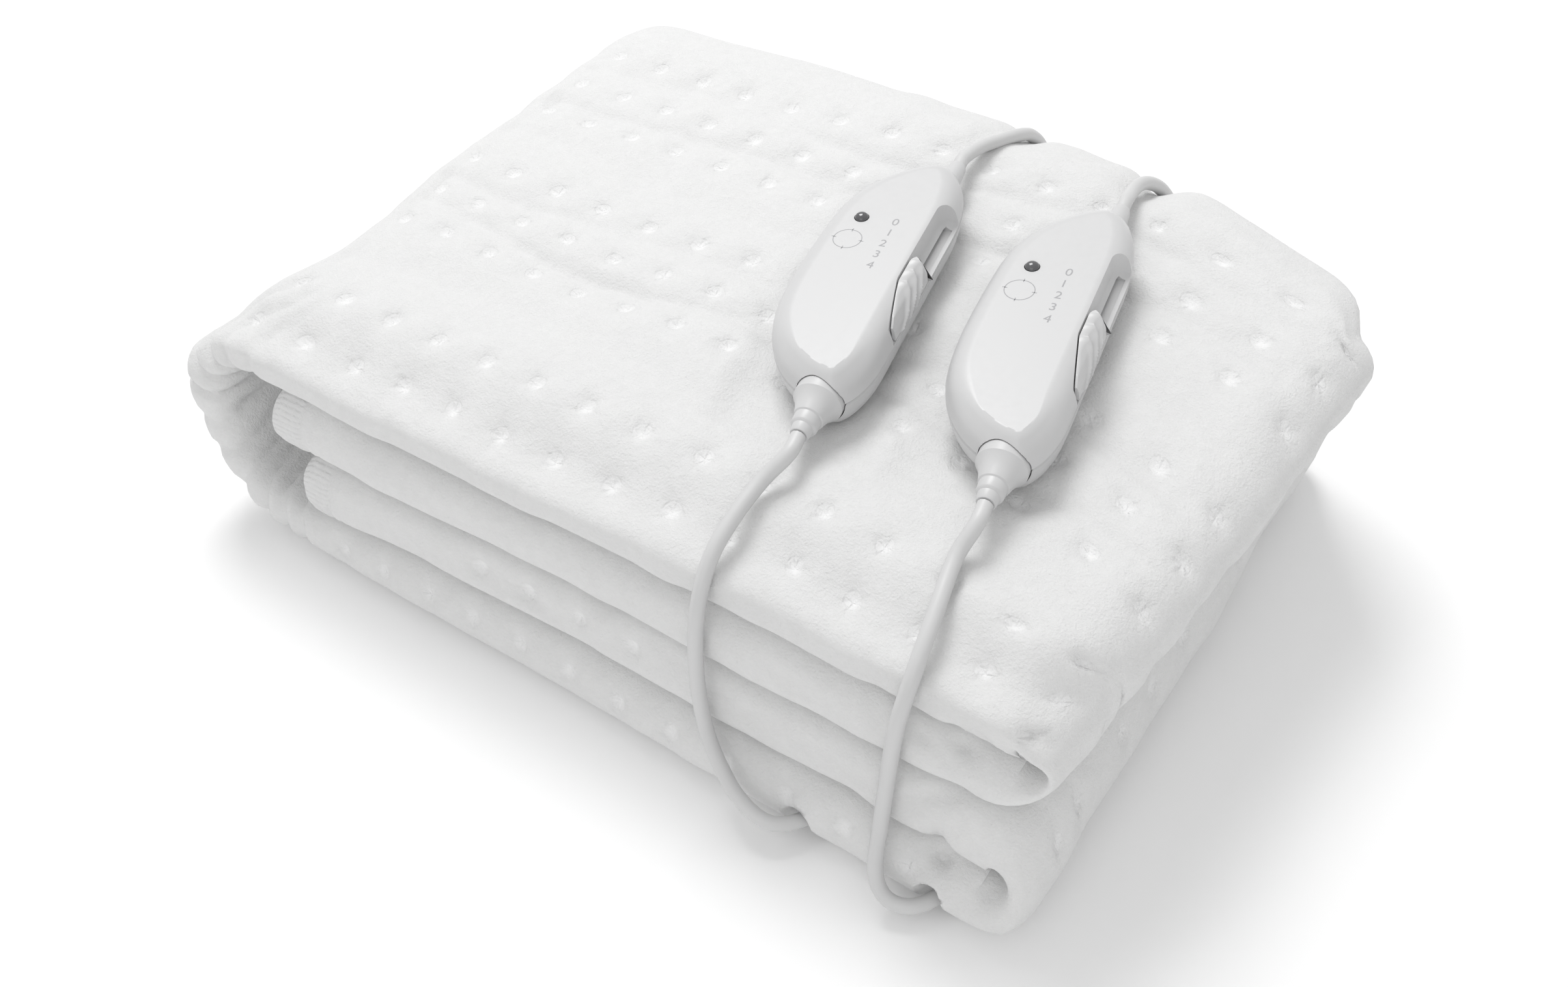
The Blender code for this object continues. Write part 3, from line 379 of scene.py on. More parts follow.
UPPER_ROUTES = {
    "left": (
        (0.0344, 0.1080, 0.1104), (0.0366, 0.1190, 0.1076), (0.0390, 0.1285, 0.1050),
        (0.0405, 0.1374, 0.1004), (0.0418, 0.1446, 0.0908), (0.0430, 0.1475, 0.0780),
        (0.0435, 0.1490, 0.0600), (0.0410, 0.1500, 0.0400), (0.0325, 0.1500, 0.0200),
        (0.0160, 0.1505, 0.0070), (-0.0060, 0.1510, 0.0032), (-0.0320, 0.1550, 0.0031),
        (-0.0560, 0.1596, 0.0031), (-0.0770, 0.1606, 0.0031),
    ),
    "right": (
        (0.1022, 0.1085, 0.1102), (0.1008, 0.1180, 0.1076), (0.1010, 0.1260, 0.1036),
        (0.1028, 0.1335, 0.0970), (0.1055, 0.1390, 0.0870), (0.1085, 0.1420, 0.0755),
        (0.1110, 0.1445, 0.0600), (0.1115, 0.1470, 0.0400), (0.1070, 0.1505, 0.0205),
        (0.0975, 0.1540, 0.0075), (0.0850, 0.1556, 0.0031),
    ),
}
COILS = {
    # side: (x, y) of the middle
    "left": (-0.1000, 0.2000),
    "right": (0.0620, 0.1950),
}
COIL_TURN_RADIUS = 0.0310
COIL_SECTION = (0.0224, 0.0114)
COIL_FOOT = 0.0016
TIE_SIZE = (0.0060, 0.0010)
TIE_ANGLE = math.radians(90)
TIE_CORNER = 0.0045
TAIL_START = (-0.0250, -0.0378, 0.0088)
PLUG_PLACE = (-0.0942, -0.0023)
PLUG_TURN = math.radians(-118)
PLUG_ROWS = (
    # distance behind the front face, width, height
    (0.0000, 0.0240, 0.0116),
    (0.0004, 0.0252, 0.0128),
    (0.0012, 0.0260, 0.0136),
    (0.0040, 0.0262, 0.0138),
    (0.0110, 0.0262, 0.0138),
    (0.0160, 0.0250, 0.0137),
    (0.0200, 0.0230, 0.0136),
    (0.0250, 0.0190, 0.0130),
    (0.0300, 0.0150, 0.0120),
    (0.0335, 0.0125, 0.0114),
    (0.0353, 0.0112, 0.0110),
    (0.0358, 0.0100, 0.0100),
)
PLUG_RELIEF = (0.0358, 0.0580)
PLUG_RELIEF_RADII = (0.0047, 0.0033)
PLUG_RIBS, PLUG_RIB_HEIGHT = 6, 0.0006
PLUG_SIDES = 40

# ---------------------------------------------------------------- the camera and the stage
CAMERA_LENS, CAMERA_SENSOR, CAMERA_CLIP = 35.78, 36.0, 0.01
CAMERA_PLACE = (0.3218, -0.3549, 0.4853)
CAMERA_AXES = (
    # x, y, z
    (0.8015, 0.5890, -0.1034),  # right
    (-0.3737, 0.6283, 0.6823),  # up
    (-0.4669, 0.5082, -0.7237),  # forward
)
FLOOR_HALF, FLOOR_DROP = 6.0, 0.0002
LIGHT_AIM = (0.0, 0.0, 0.05)
LIGHTS = (
    # name, place, size
    ("key", (-0.62, 0.62, 1.55), 0.8),
    ("fill", (0.5, -1.3, 0.9), 1.2),
)


# ---------------------------------------------------------------- settings
class UnderblanketCords(PropertyGroup):
    """Sizes and colours of the cords, coils, ties and plugs."""

    diameter: FloatProperty(
        name="Diameter",
        description="Outside diameter of every cord",
        default=0.0056,
        unit="LENGTH",
    )
    turns: IntProperty(
        name="Turns of each coil",
        description="Turns that a mains lead is wound in",
        default=8,
    )
    turn_points: IntProperty(
        name="Points for each turn",
        description="Curve points in one turn of a coil",
        default=20,
    )
    left_length: FloatProperty(
        name="Left mains lead",
        description="Whole length of the left mains lead",
        default=1.90,
        unit="LENGTH",
    )
    right_length: FloatProperty(
        name="Right mains lead",
        description="Whole length of the right mains lead",
        default=1.80,
        unit="LENGTH",
    )
    colour: FloatVectorProperty(
        name="Cord and plug colour",
        description="Base colour of the cords and the plugs",
        default=(0.62, 0.62, 0.62),
        size=3,
        min=0.0,
        max=1.0,
        subtype="COLOR",
    )
    tie_colour: FloatVectorProperty(
        name="Tie colour",
        description="Base colour of the straps round the coils",
        default=(0.06, 0.06, 0.06),
        size=3,
        min=0.0,
        max=1.0,
        subtype="COLOR",
    )


class UnderblanketCloth(PropertyGroup):
    """Sizes and colours of the folded cloth."""

    face_step: FloatProperty(
        name="Step on the shown faces",
        description="Distance between stations where the outer face shows",
        default=0.00186,
        unit="LENGTH",
    )
    hidden_step: FloatProperty(
        name="Step on the hidden faces",
        description="Distance between stations inside the pack",
        default=0.0127,
        unit="LENGTH",
    )
    front_step: FloatProperty(
        name="Step along the front folds",
        description="Distance between stations along the front",
        default=0.0020,
        unit="LENGTH",
    )
    hem_step: FloatProperty(
        name="Step near a hem",
        description="Distance between stations at a hem",
        default=0.0009,
        unit="LENGTH",
    )
    spot_depth: FloatProperty(
        name="Dimple depth",
        description="Depth of the dimple round a weld spot",
        default=0.0017,
        unit="LENGTH",
    )
    spot_radius: FloatProperty(
        name="Dimple radius",
        description="Radius of the dimple round a weld spot",
        default=0.0068,
        unit="LENGTH",
    )
    pinch_depth: FloatProperty(
        name="Pinch depth",
        description="Depth of the pinch in the middle of a dimple",
        default=0.0018,
        unit="LENGTH",
    )
    pinch_radius: FloatProperty(
        name="Pinch radius",
        description="Radius of the pinch in the middle of a dimple",
        default=0.0027,
        unit="LENGTH",
    )
    trough_gain: FloatProperty(
        name="Trough gain",
        description="How strongly the troughs along the rows are pressed in",
        default=2.4,
    )
    slump: FloatProperty(
        name="Slump",
        description="Waviness of the whole pack",
        default=0.0056,
        unit="LENGTH",
    )
    ripple: FloatProperty(
        name="Ripple",
        description="Height of the small ripples",
        default=0.0013,
        unit="LENGTH",
    )
    gather: FloatProperty(
        name="Gathers",
        description="Depth of the gathers at the front of the spine",
        default=0.0044,
        unit="LENGTH",
    )
    gather_pitch: FloatProperty(
        name="Gather spacing",
        description="Distance between two gathers",
        default=0.0130,
        unit="LENGTH",
    )
    most_sunk: FloatProperty(
        name="Deepest dimple",
        description="Deepest that the outer face sinks",
        default=0.0052,
        unit="LENGTH",
    )
    slit: FloatProperty(
        name="Gap in the doubled cloth",
        description="Width of the gap inside each doubled layer",
        default=0.0004,
        unit="LENGTH",
    )
    hem_width: FloatProperty(
        name="Hem width",
        description="Width of the overlocked hem",
        default=0.0120,
        unit="LENGTH",
    )
    hem_dip: FloatProperty(
        name="Seam depth",
        description="Depth of the seam beside the hem",
        default=0.0009,
        unit="LENGTH",
    )
    flat_width: FloatProperty(
        name="Flat width",
        description="Width of the cloth when it is laid out",
        default=1.50,
        unit="LENGTH",
    )
    flat_length: FloatProperty(
        name="Flat length",
        description="Length of the cloth when it is laid out",
        default=1.60,
        unit="LENGTH",
    )
    colour: FloatVectorProperty(
        name="Fleece colour",
        description="Base colour of the fleece",
        default=(0.77, 0.77, 0.768),
        size=3,
        min=0.0,
        max=1.0,
        subtype="COLOR",
    )
    weld_colour: FloatVectorProperty(
        name="Weld spot colour",
        description="Colour of the pressed middle of a weld spot",
        default=(0.885, 0.885, 0.885),
        size=3,
        min=0.0,
        max=1.0,
        subtype="COLOR",
    )


class UnderblanketController(PropertyGroup):
    """Sizes and colours of both controllers."""

    outline_step: FloatProperty(
        name="Step round the housing",
        description="Distance between points round the housing",
        default=0.0015,
        unit="LENGTH",
    )
    slider_rows: IntProperty(
        name="Rows along the slide",
        description="Sections that the thumb slide is made from",
        default=72,
    )
    ridge_width: FloatProperty(
        name="Ridge width",
        description="Width of a ridge, as a share of the slide",
        default=0.045,
        subtype="FACTOR",
    )
    colour: FloatVectorProperty(
        name="Shell colour",
        description="Base colour of the shells and the thumb slides",
        default=(0.61, 0.61, 0.612),
        size=3,
        min=0.0,
        max=1.0,
        subtype="COLOR",
    )
    ink_colour: FloatVectorProperty(
        name="Ink colour",
        description="Colour of the printed numbers and ring",
        default=(0.36, 0.36, 0.37),
        size=3,
        min=0.0,
        max=1.0,
        subtype="COLOR",
    )
    lamp_colour: FloatVectorProperty(
        name="Lamp colour",
        description="Colour of the unlit lamp",
        default=(0.09, 0.09, 0.095),
        size=3,
        min=0.0,
        max=1.0,
        subtype="COLOR",
    )


class UnderblanketStage(PropertyGroup):
    """The floor's colour and the strength of the light."""

    floor_colour: FloatVectorProperty(
        name="Floor colour",
        description="Base colour of the floor",
        default=(0.96, 0.96, 0.96),
        size=3,
        min=0.0,
        max=1.0,
        subtype="COLOR",
    )
    surround: FloatProperty(
        name="Surround",
        description="Strength of the even light from all round",
        default=0.66,
    )
    key_power: FloatProperty(
        name="Key light",
        description="Power of the key light",
        default=18.0,
        unit="POWER",
    )
    fill_power: FloatProperty(
        name="Fill light",
        description="Power of the fill light",
        default=4.0,
        unit="POWER",
    )


# ---------------------------------------------------------------- small helpers
def ease(value):
    """Smooth step from 0 to 1."""
    value = np.clip(value, 0.0, 1.0)
    return value * value * (3.0 - 2.0 * value)


def ramp(value, start, over):
    """0 up to start, then smoothly up to 1 over a distance."""
    return ease((value - start) / over)


def add_object(name, data, body="pack"):
    made = bpy.data.objects.new(name, data)
    bpy.context.scene.collection.objects.link(made)
    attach(made, body)
    return made


def mesh_from(name, points, faces, sharp=35.0):
    """A closed smooth-shaded mesh with its faces pointing out."""
    shape = bmesh.new()
    corners = [shape.verts.new(point) for point in points]
    for face in faces:
        shape.faces.new([corners[index] for index in face])
    bmesh.ops.recalc_face_normals(shape, faces=shape.faces)
    if shape.calc_volume(signed=True) < 0:
        bmesh.ops.reverse_faces(shape, faces=shape.faces)
    data = bpy.data.meshes.new(name)
    shape.to_mesh(data)
    shape.free()
    data.shade_smooth()
    data.set_sharp_from_angle(angle=math.radians(sharp))
    return data


def loft(name, rings, sharp=35.0):
    """A closed mesh through rings of equal length, with flat ends."""
    size = len(rings[0])
    points = [point for ring in rings for point in ring]
    faces = [
        (row * size + index, row * size + (index + 1) % size,
         (row + 1) * size + (index + 1) % size, (row + 1) * size + index)
        for row in range(len(rings) - 1)
        for index in range(size)
    ]
    faces.append(tuple(range(size)))
    faces.append(tuple((len(rings) - 1) * size + index for index in range(size)))
    return mesh_from(name, points, faces, sharp)


def turned(name, profile, start, direction, sides, sharp=35.0):
    """A solid of revolution: (distance, radius) rows from start along direction."""
    place = Matrix.Translation(start) @ Vector(direction).to_track_quat("Z", "Y").to_matrix().to_4x4()
    rings = [
        [
            place @ Vector((
                radius * math.cos(2 * math.pi * side / sides),
                radius * math.sin(2 * math.pi * side / sides),
                distance,
            ))
            for side in range(sides)
        ]
        for distance, radius in profile
    ]
    return loft(name, rings, sharp)


def smooth_line(points, step, closed=False):
    """Evenly spaced points on a Catmull-Rom curve through the given ones."""
    points = [Vector(point) for point in points]
    count = len(points)
    fine = []
    for index in range(count if closed else count - 1):
        before, start, end, after = [
            points[(index + offset) % count] if closed else points[min(max(index + offset, 0), count - 1)]
            for offset in (-1, 0, 1, 2)
        ]
        for part in range(16):
            t = part / 16
            fine.append(
                0.5 * (2 * start + (end - before) * t + (2 * before - 5 * start + 4 * end - after) * t**2
                       + (3 * start - before - 3 * end + after) * t**3)
            )
    fine.append(points[0].copy() if closed else points[-1].copy())
    lengths = [0.0]
    for start, end in zip(fine, fine[1:]):
        lengths.append(lengths[-1] + (end - start).length)
    number = max(2, round(lengths[-1] / step))
    spaced = []
    place_on = 0
    for index in range(number + 1):
        target = lengths[-1] * index / number
        while place_on < len(fine) - 2 and lengths[place_on + 1] < target:
            place_on += 1
        span = lengths[place_on + 1] - lengths[place_on]
        spaced.append(fine[place_on].lerp(fine[place_on + 1], (target - lengths[place_on]) / span))
    return spaced[:-1] if closed else spaced


def controller_frame(side):
    """Takes points about a controller's own middle to where it lies."""
    x, y = CONTROLLERS[side]
    return Matrix.Translation((x, y, CONTROLLER_Z)) @ Matrix.Rotation(CONTROLLER_TURN, 4, "Z")


def controller_reach(x, y, place):
    """How far places lie across and along a controller from its middle."""
    cx, cy = place
    sine, cosine = math.sin(CONTROLLER_TURN), math.cos(CONTROLLER_TURN)
    return (y - cy) * sine + (x - cx) * cosine, (y - cy) * cosine - (x - cx) * sine


def plug_frame(side):
    """Takes points about the middle of a plug's front face to where it lies."""
    x, y = COILS[side]
    tall = max(row[2] for row in PLUG_ROWS)
    return (
        Matrix.Translation((x + PLUG_PLACE[0], y + PLUG_PLACE[1], tall / 2 + CLEAR))
        @ Matrix.Rotation(PLUG_TURN, 4, "Z")
    )


# ---------------------------------------------------------------- materials
def relief_group():
    """Two sizes of noise as one bump, and the coarser noise as a value."""
    if "fine relief" in bpy.data.node_groups:
        return bpy.data.node_groups["fine relief"]
    group = bpy.data.node_groups.new("fine relief", "ShaderNodeTree")
    for name, value in (("Coarse scale", 200.0), ("Fine scale", 900.0), ("Coarse height", 0.0003),
                        ("Fine height", 0.0002)):
        group.interface.new_socket(name, in_out="INPUT", socket_type="NodeSocketFloat").default_value = value
    group.interface.new_socket("Normal in", in_out="INPUT", socket_type="NodeSocketVector").hide_value = True
    group.interface.new_socket("Normal", in_out="OUTPUT", socket_type="NodeSocketVector")
    group.interface.new_socket("Value", in_out="OUTPUT", socket_type="NodeSocketFloat")
    nodes, links = group.nodes, group.links
    given = nodes.new("NodeGroupInput")
    result = nodes.new("NodeGroupOutput")
    where = nodes.new("ShaderNodeTexCoord")
    normal = given.outputs["Normal in"]
    for kind, detail in (("Coarse", 2.0), ("Fine", 5.0)):
        noise = nodes.new("ShaderNodeTexNoise")
        noise.inputs["Detail"].default_value = detail
        noise.inputs["Roughness"].default_value = 0.62
        bump = nodes.new("ShaderNodeBump")
        bump.inputs["Strength"].default_value = 1.0
        links.new(where.outputs["Object"], noise.inputs["Vector"])
        links.new(given.outputs[f"{kind} scale"], noise.inputs["Scale"])
        links.new(noise.outputs["Fac"], bump.inputs["Height"])
        links.new(given.outputs[f"{kind} height"], bump.inputs["Distance"])
        links.new(normal, bump.inputs["Normal"])
        normal = bump.outputs["Normal"]
        if kind == "Coarse":
            links.new(noise.outputs["Fac"], result.inputs["Value"])
    links.new(normal, result.inputs["Normal"])
    return group


def weld_group():
    """A weld spot as height and tint: a pressed ring and cross, with creases running out from it."""
    if "weld relief" in bpy.data.node_groups:
        return bpy.data.node_groups["weld relief"]
    group = bpy.data.node_groups.new("weld relief", "ShaderNodeTree")
    for name, value in (("Radius", 0.0034), ("Line", 0.0006), ("Crease reach", 0.0085)):
        group.interface.new_socket(name, in_out="INPUT", socket_type="NodeSocketFloat").default_value = value
    for name in ("Height", "Tint"):
        group.interface.new_socket(name, in_out="OUTPUT", socket_type="NodeSocketFloat")
    nodes, links = group.nodes, group.links
    given = nodes.new("NodeGroupInput").outputs
    result = nodes.new("NodeGroupOutput").inputs

    def calculate(operation, *values, clamp=False):
        node = nodes.new("ShaderNodeMath")
        node.operation = operation
        node.use_clamp = clamp
        for socket, value in zip(node.inputs, values):
            if isinstance(value, (int, float)):
                socket.default_value = value
            else:
                links.new(value, socket)
        return node.outputs[0]

    def less_share(value, whole, start=1.0):
        """The start less the value's share of the whole, no lower than 0."""
        return calculate("SUBTRACT", start, calculate("DIVIDE", value, whole), clamp=True)

    weld = nodes.new("ShaderNodeAttribute")
    weld.attribute_name = "weld"
    parts = nodes.new("ShaderNodeSeparateXYZ")
    links.new(weld.outputs["Vector"], parts.inputs[0])
    u, v, near = parts.outputs
    reach = calculate("SQRT", calculate("ADD", calculate("MULTIPLY", u, u), calculate("MULTIPLY", v, v)))

    def line_at(distance):
        return less_share(calculate("ABSOLUTE", distance), given["Line"])

    ring = line_at(calculate("SUBTRACT", reach, given["Radius"]))
    cross = calculate("MAXIMUM", line_at(u), line_at(v))
    inside = calculate("LESS_THAN", reach, given["Radius"])
    pressed = calculate("MAXIMUM", ring, calculate("MULTIPLY", cross, inside))
    where = nodes.new("ShaderNodeTexCoord")
    noise = nodes.new("ShaderNodeTexNoise")
    noise.inputs["Scale"].default_value = 45.0
    links.new(where.outputs["Object"], noise.inputs["Vector"])
    spokes = calculate("MULTIPLY", calculate("ARCTAN2", v, u), 4.0)
    turn = calculate("ADD", spokes, calculate("MULTIPLY", noise.outputs["Fac"], 26.0))
    fade = less_share(reach, given["Crease reach"])
    start = calculate("DIVIDE", reach, given["Radius"], clamp=True)
    creases = calculate("MULTIPLY", calculate("SINE", turn), calculate("MULTIPLY", fade, start))
    height = calculate("SUBTRACT", calculate("MULTIPLY", creases, 2.2), pressed)
    links.new(calculate("MULTIPLY", height, near), result["Height"])
    shine = less_share(reach, given["Radius"], 1.25)
    links.new(calculate("MULTIPLY", shine, near), result["Tint"])
    return group


def base_material(name, colour, roughness):
    """A new material of one colour and roughness, and its shader."""
    made = bpy.data.materials.new(name)
    made.use_nodes = True
    shader = made.node_tree.nodes["Principled BSDF"]
    shader.inputs["Base Color"].default_value = (*colour, 1.0)
    shader.inputs["Roughness"].default_value = roughness
    return made, shader


def add_relief(made, shader, coarse, fine, heights, normal=None):
    """Joins the shared fine relief to the shader, over the given normal or the plain one."""
    relief = made.node_tree.nodes.new("ShaderNodeGroup")
    relief.node_tree = relief_group()
    relief.inputs["Coarse scale"].default_value = coarse
    relief.inputs["Fine scale"].default_value = fine
    relief.inputs["Coarse height"].default_value = heights[0]
    relief.inputs["Fine height"].default_value = heights[1]
    if normal is None:
        normal = made.node_tree.nodes.new("ShaderNodeNewGeometry").outputs["Normal"]
    made.node_tree.links.new(normal, relief.inputs["Normal in"])
    made.node_tree.links.new(relief.outputs["Normal"], shader.inputs["Normal"])
    return relief


def tint(made, value, low, high, socket):
    """Drives a colour or a roughness from a value, between two ends."""
    blend = made.node_tree.nodes.new("ShaderNodeMapRange")
    blend.inputs["From Min"].default_value = 0.3
    blend.inputs["From Max"].default_value = 0.7
    blend.inputs["To Min"].default_value = low
    blend.inputs["To Max"].default_value = high
    made.node_tree.links.new(value, blend.inputs["Value"])
    made.node_tree.links.new(blend.outputs["Result"], socket)


def shades(colour, darker, lighter):
    """A slightly darker and a slightly lighter shade of a colour."""
    return [part - darker for part in colour], [part + lighter for part in colour]


def mottle(made, shader, value, low, high):
    """A faint mottling of the colour between two near shades."""
    mix = made.node_tree.nodes.new("ShaderNodeMix")
    mix.data_type = "RGBA"
    mix.inputs["A"].default_value = (*low, 1.0)
    mix.inputs["B"].default_value = (*high, 1.0)
    made.node_tree.links.new(value, mix.inputs["Factor"])
    made.node_tree.links.new(mix.outputs["Result"], shader.inputs["Base Color"])


def fleece_material(colour, weld_colour):
    """Brushed fleece with weld spots, and an overlocked hem where the hem attribute is near 1."""
    made, shader = base_material("fleece", colour, 1.0)
    shader.inputs["Specular IOR Level"].default_value = 0.15
    shader.inputs["Sheen Weight"].default_value = 0.25
    shader.inputs["Sheen Roughness"].default_value = 0.6
    nodes, links = made.node_tree.nodes, made.node_tree.links
    hem = nodes.new("ShaderNodeAttribute")
    hem.attribute_name = "hem"
    around = nodes.new("ShaderNodeAttribute")
    around.attribute_name = "around"
    turn = nodes.new("ShaderNodeMath")
    turn.operation = "MULTIPLY"
    turn.inputs[1].default_value = 2 * math.pi / HEM_RIB_PITCH
    wave = nodes.new("ShaderNodeMath")
    wave.operation = "SINE"
    ribs = nodes.new("ShaderNodeMath")
    ribs.operation = "MULTIPLY"
    bump = nodes.new("ShaderNodeBump")
    bump.inputs["Distance"].default_value = HEM_RIB_HEIGHT
    links.new(around.outputs["Fac"], turn.inputs[0])
    links.new(turn.outputs[0], wave.inputs[0])
    links.new(wave.outputs[0], ribs.inputs[0])
    links.new(hem.outputs["Fac"], ribs.inputs[1])
    links.new(ribs.outputs[0], bump.inputs["Height"])
    weld = nodes.new("ShaderNodeGroup")
    weld.node_tree = weld_group()
    pressed = nodes.new("ShaderNodeBump")
    pressed.inputs["Distance"].default_value = WELD_HEIGHT
    links.new(weld.outputs["Height"], pressed.inputs["Height"])
    links.new(bump.outputs["Normal"], pressed.inputs["Normal"])
    relief = add_relief(made, shader, 190.0, 1150.0, (0.00055, 0.00050), pressed.outputs["Normal"])
    mottle(made, shader, relief.outputs["Value"], *shades(colour, 0.035, 0.025))
    lighter = nodes.new("ShaderNodeMix")
    lighter.data_type = "RGBA"
    lighter.inputs["B"].default_value = (*weld_colour, 1.0)
    links.new(weld.outputs["Tint"], lighter.inputs["Factor"])
    links.new(shader.inputs["Base Color"].links[0].from_socket, lighter.inputs["A"])
    links.new(lighter.outputs["Result"], shader.inputs["Base Color"])
    return made


def plastic_material(name, colour, roughness, grain):
    """Moulded plastic with a fine spark-eroded grain."""
    made, shader = base_material(name, colour, roughness)
    shader.inputs["Specular IOR Level"].default_value = 0.45
    relief = add_relief(made, shader, 320.0, 2600.0, (0.00001, grain))
    tint(made, relief.outputs["Value"], roughness - 0.05, roughness + 0.05, shader.inputs["Roughness"])
    low, high = ([part * share for part in colour] for share in (0.985, 1.01))
    mottle(made, shader, relief.outputs["Value"], low, high)
    return made


def print_material(colour):
    """Printing ink, a little worn."""
    made, shader = base_material("print_grey", colour, 0.55)
    relief = add_relief(made, shader, 900.0, 4000.0, (0.0, 0.00001))
    mottle(made, shader, relief.outputs["Value"], *shades(colour, 0.03, 0.06))
    return made


def lens_material(colour):
    """The dark glossy lens of an unlit lamp."""
    made, shader = base_material("lamp_lens", colour, 0.12)
    shader.inputs["Coat Weight"].default_value = 0.6
    shader.inputs["Coat Roughness"].default_value = 0.05
    relief = add_relief(made, shader, 500.0, 3000.0, (0.0, 0.000004))
    mottle(made, shader, relief.outputs["Value"], *shades(colour, 0.015, 0.02))
    return made


def metal_material():
    """Nickel-plated pins with drawn lines."""
    made, shader = base_material("pin_metal", (0.70, 0.69, 0.66), 0.22)
    shader.inputs["Metallic"].default_value = 1.0
    relief = add_relief(made, shader, 700.0, 5000.0, (0.00001, 0.00001))
    tint(made, relief.outputs["Value"], 0.18, 0.30, shader.inputs["Roughness"])
    return made


# ---------------------------------------------------------------- cords
def coil_route(side, turns, turn_points, diameter):
    """The wound turns, clockwise: the lower row from the outside in, then the upper row outwards."""
    x, y = COILS[side]
    rows = turns // 2
    outer = COIL_TURN_RADIUS + diameter * (rows - 1) / 2
    low = COIL_FOOT + diameter / 2
    points = []
    for step in range(turns * turn_points + 1):
        turn = step / turn_points
        whole = min(int(turn), turns - 1)
        part = turn - whole
        passed = whole + float(ramp(part, 0.82, 0.18)) * (whole != rows - 1) - (whole >= rows)
        ring = passed if whole < rows else 2 * (rows - 1) - passed
        ring = min(max(ring, 0.0), rows - 1.0)
        rise = float(ramp(turn, rows - 0.35, 0.35))
        radius = outer - diameter * ring
        angle = -math.pi / 2 - 2 * math.pi * turn
        across, up = radius * math.cos(angle), radius * math.sin(angle)
        points.append(Vector((x + across, y + up, low + diameter * rise)))
    return points


def lower_route(side):
    """From the strain relief down over the front of the pack and in under it."""
    x, y, z = RELIEF_PLACE
    place = controller_frame(side)
    out = RELIEF_PROFILE[-1][0] - RELIEF_SUNK + CLEAR
    return [place @ Vector((x, y - out, z)), place @ Vector((x, y - out - 0.008, z - 0.0004)),
            *[Vector(point) for point in LOWER_ROUTES[side]]]


def mains_route(side, sizes):
    """From the nose's sleeve over the back edge, round the coil and on to the plug."""
    x, y, z = SLEEVE_PLACE
    place = controller_frame(side)
    out = SLEEVE_PROFILE[-1][0] - SLEEVE_SUNK + CLEAR
    start = [place @ Vector((x, y + out, z)), place @ Vector((x, y + out + 0.006, z)),
             *[Vector(point) for point in UPPER_ROUTES[side]]]
    coil = coil_route(side, sizes.turns, sizes.turn_points, sizes.diameter)
    tail = Vector(TAIL_START) + Vector((*COILS[side], 0.0))
    behind = PLUG_RELIEF[1] + CLEAR
    plug = plug_frame(side)
    return [*start, *coil, tail, plug @ Vector((0, behind + 0.010, -0.0002)), plug @ Vector((0, behind, 0))]


def cord_curve(name, route, diameter):
    """One open spline through the route's points, with smooth handles."""
    data = bpy.data.curves.new(name, "CURVE")
    data.dimensions = "3D"
    data.bevel_depth = 1.0  # times each point's radius, so the curve's own box stays tight
    data.bevel_resolution = 4
    data.resolution_u = 4
    data.use_fill_caps = True
    spline = data.splines.new("BEZIER")
    spline.bezier_points.add(len(route) - 1)
    for index, point in enumerate(route):
        before = route[max(index - 1, 0)]
        after = route[min(index + 1, len(route) - 1)]
        along = (after - before).normalized()
        corner = spline.bezier_points[index]
        corner.handle_left_type = corner.handle_right_type = "FREE"
        corner.co = point
        corner.radius = diameter / 2
        corner.handle_left = point - along * (point - before).length / 3
        corner.handle_right = point + along * (after - point).length / 3
    return data


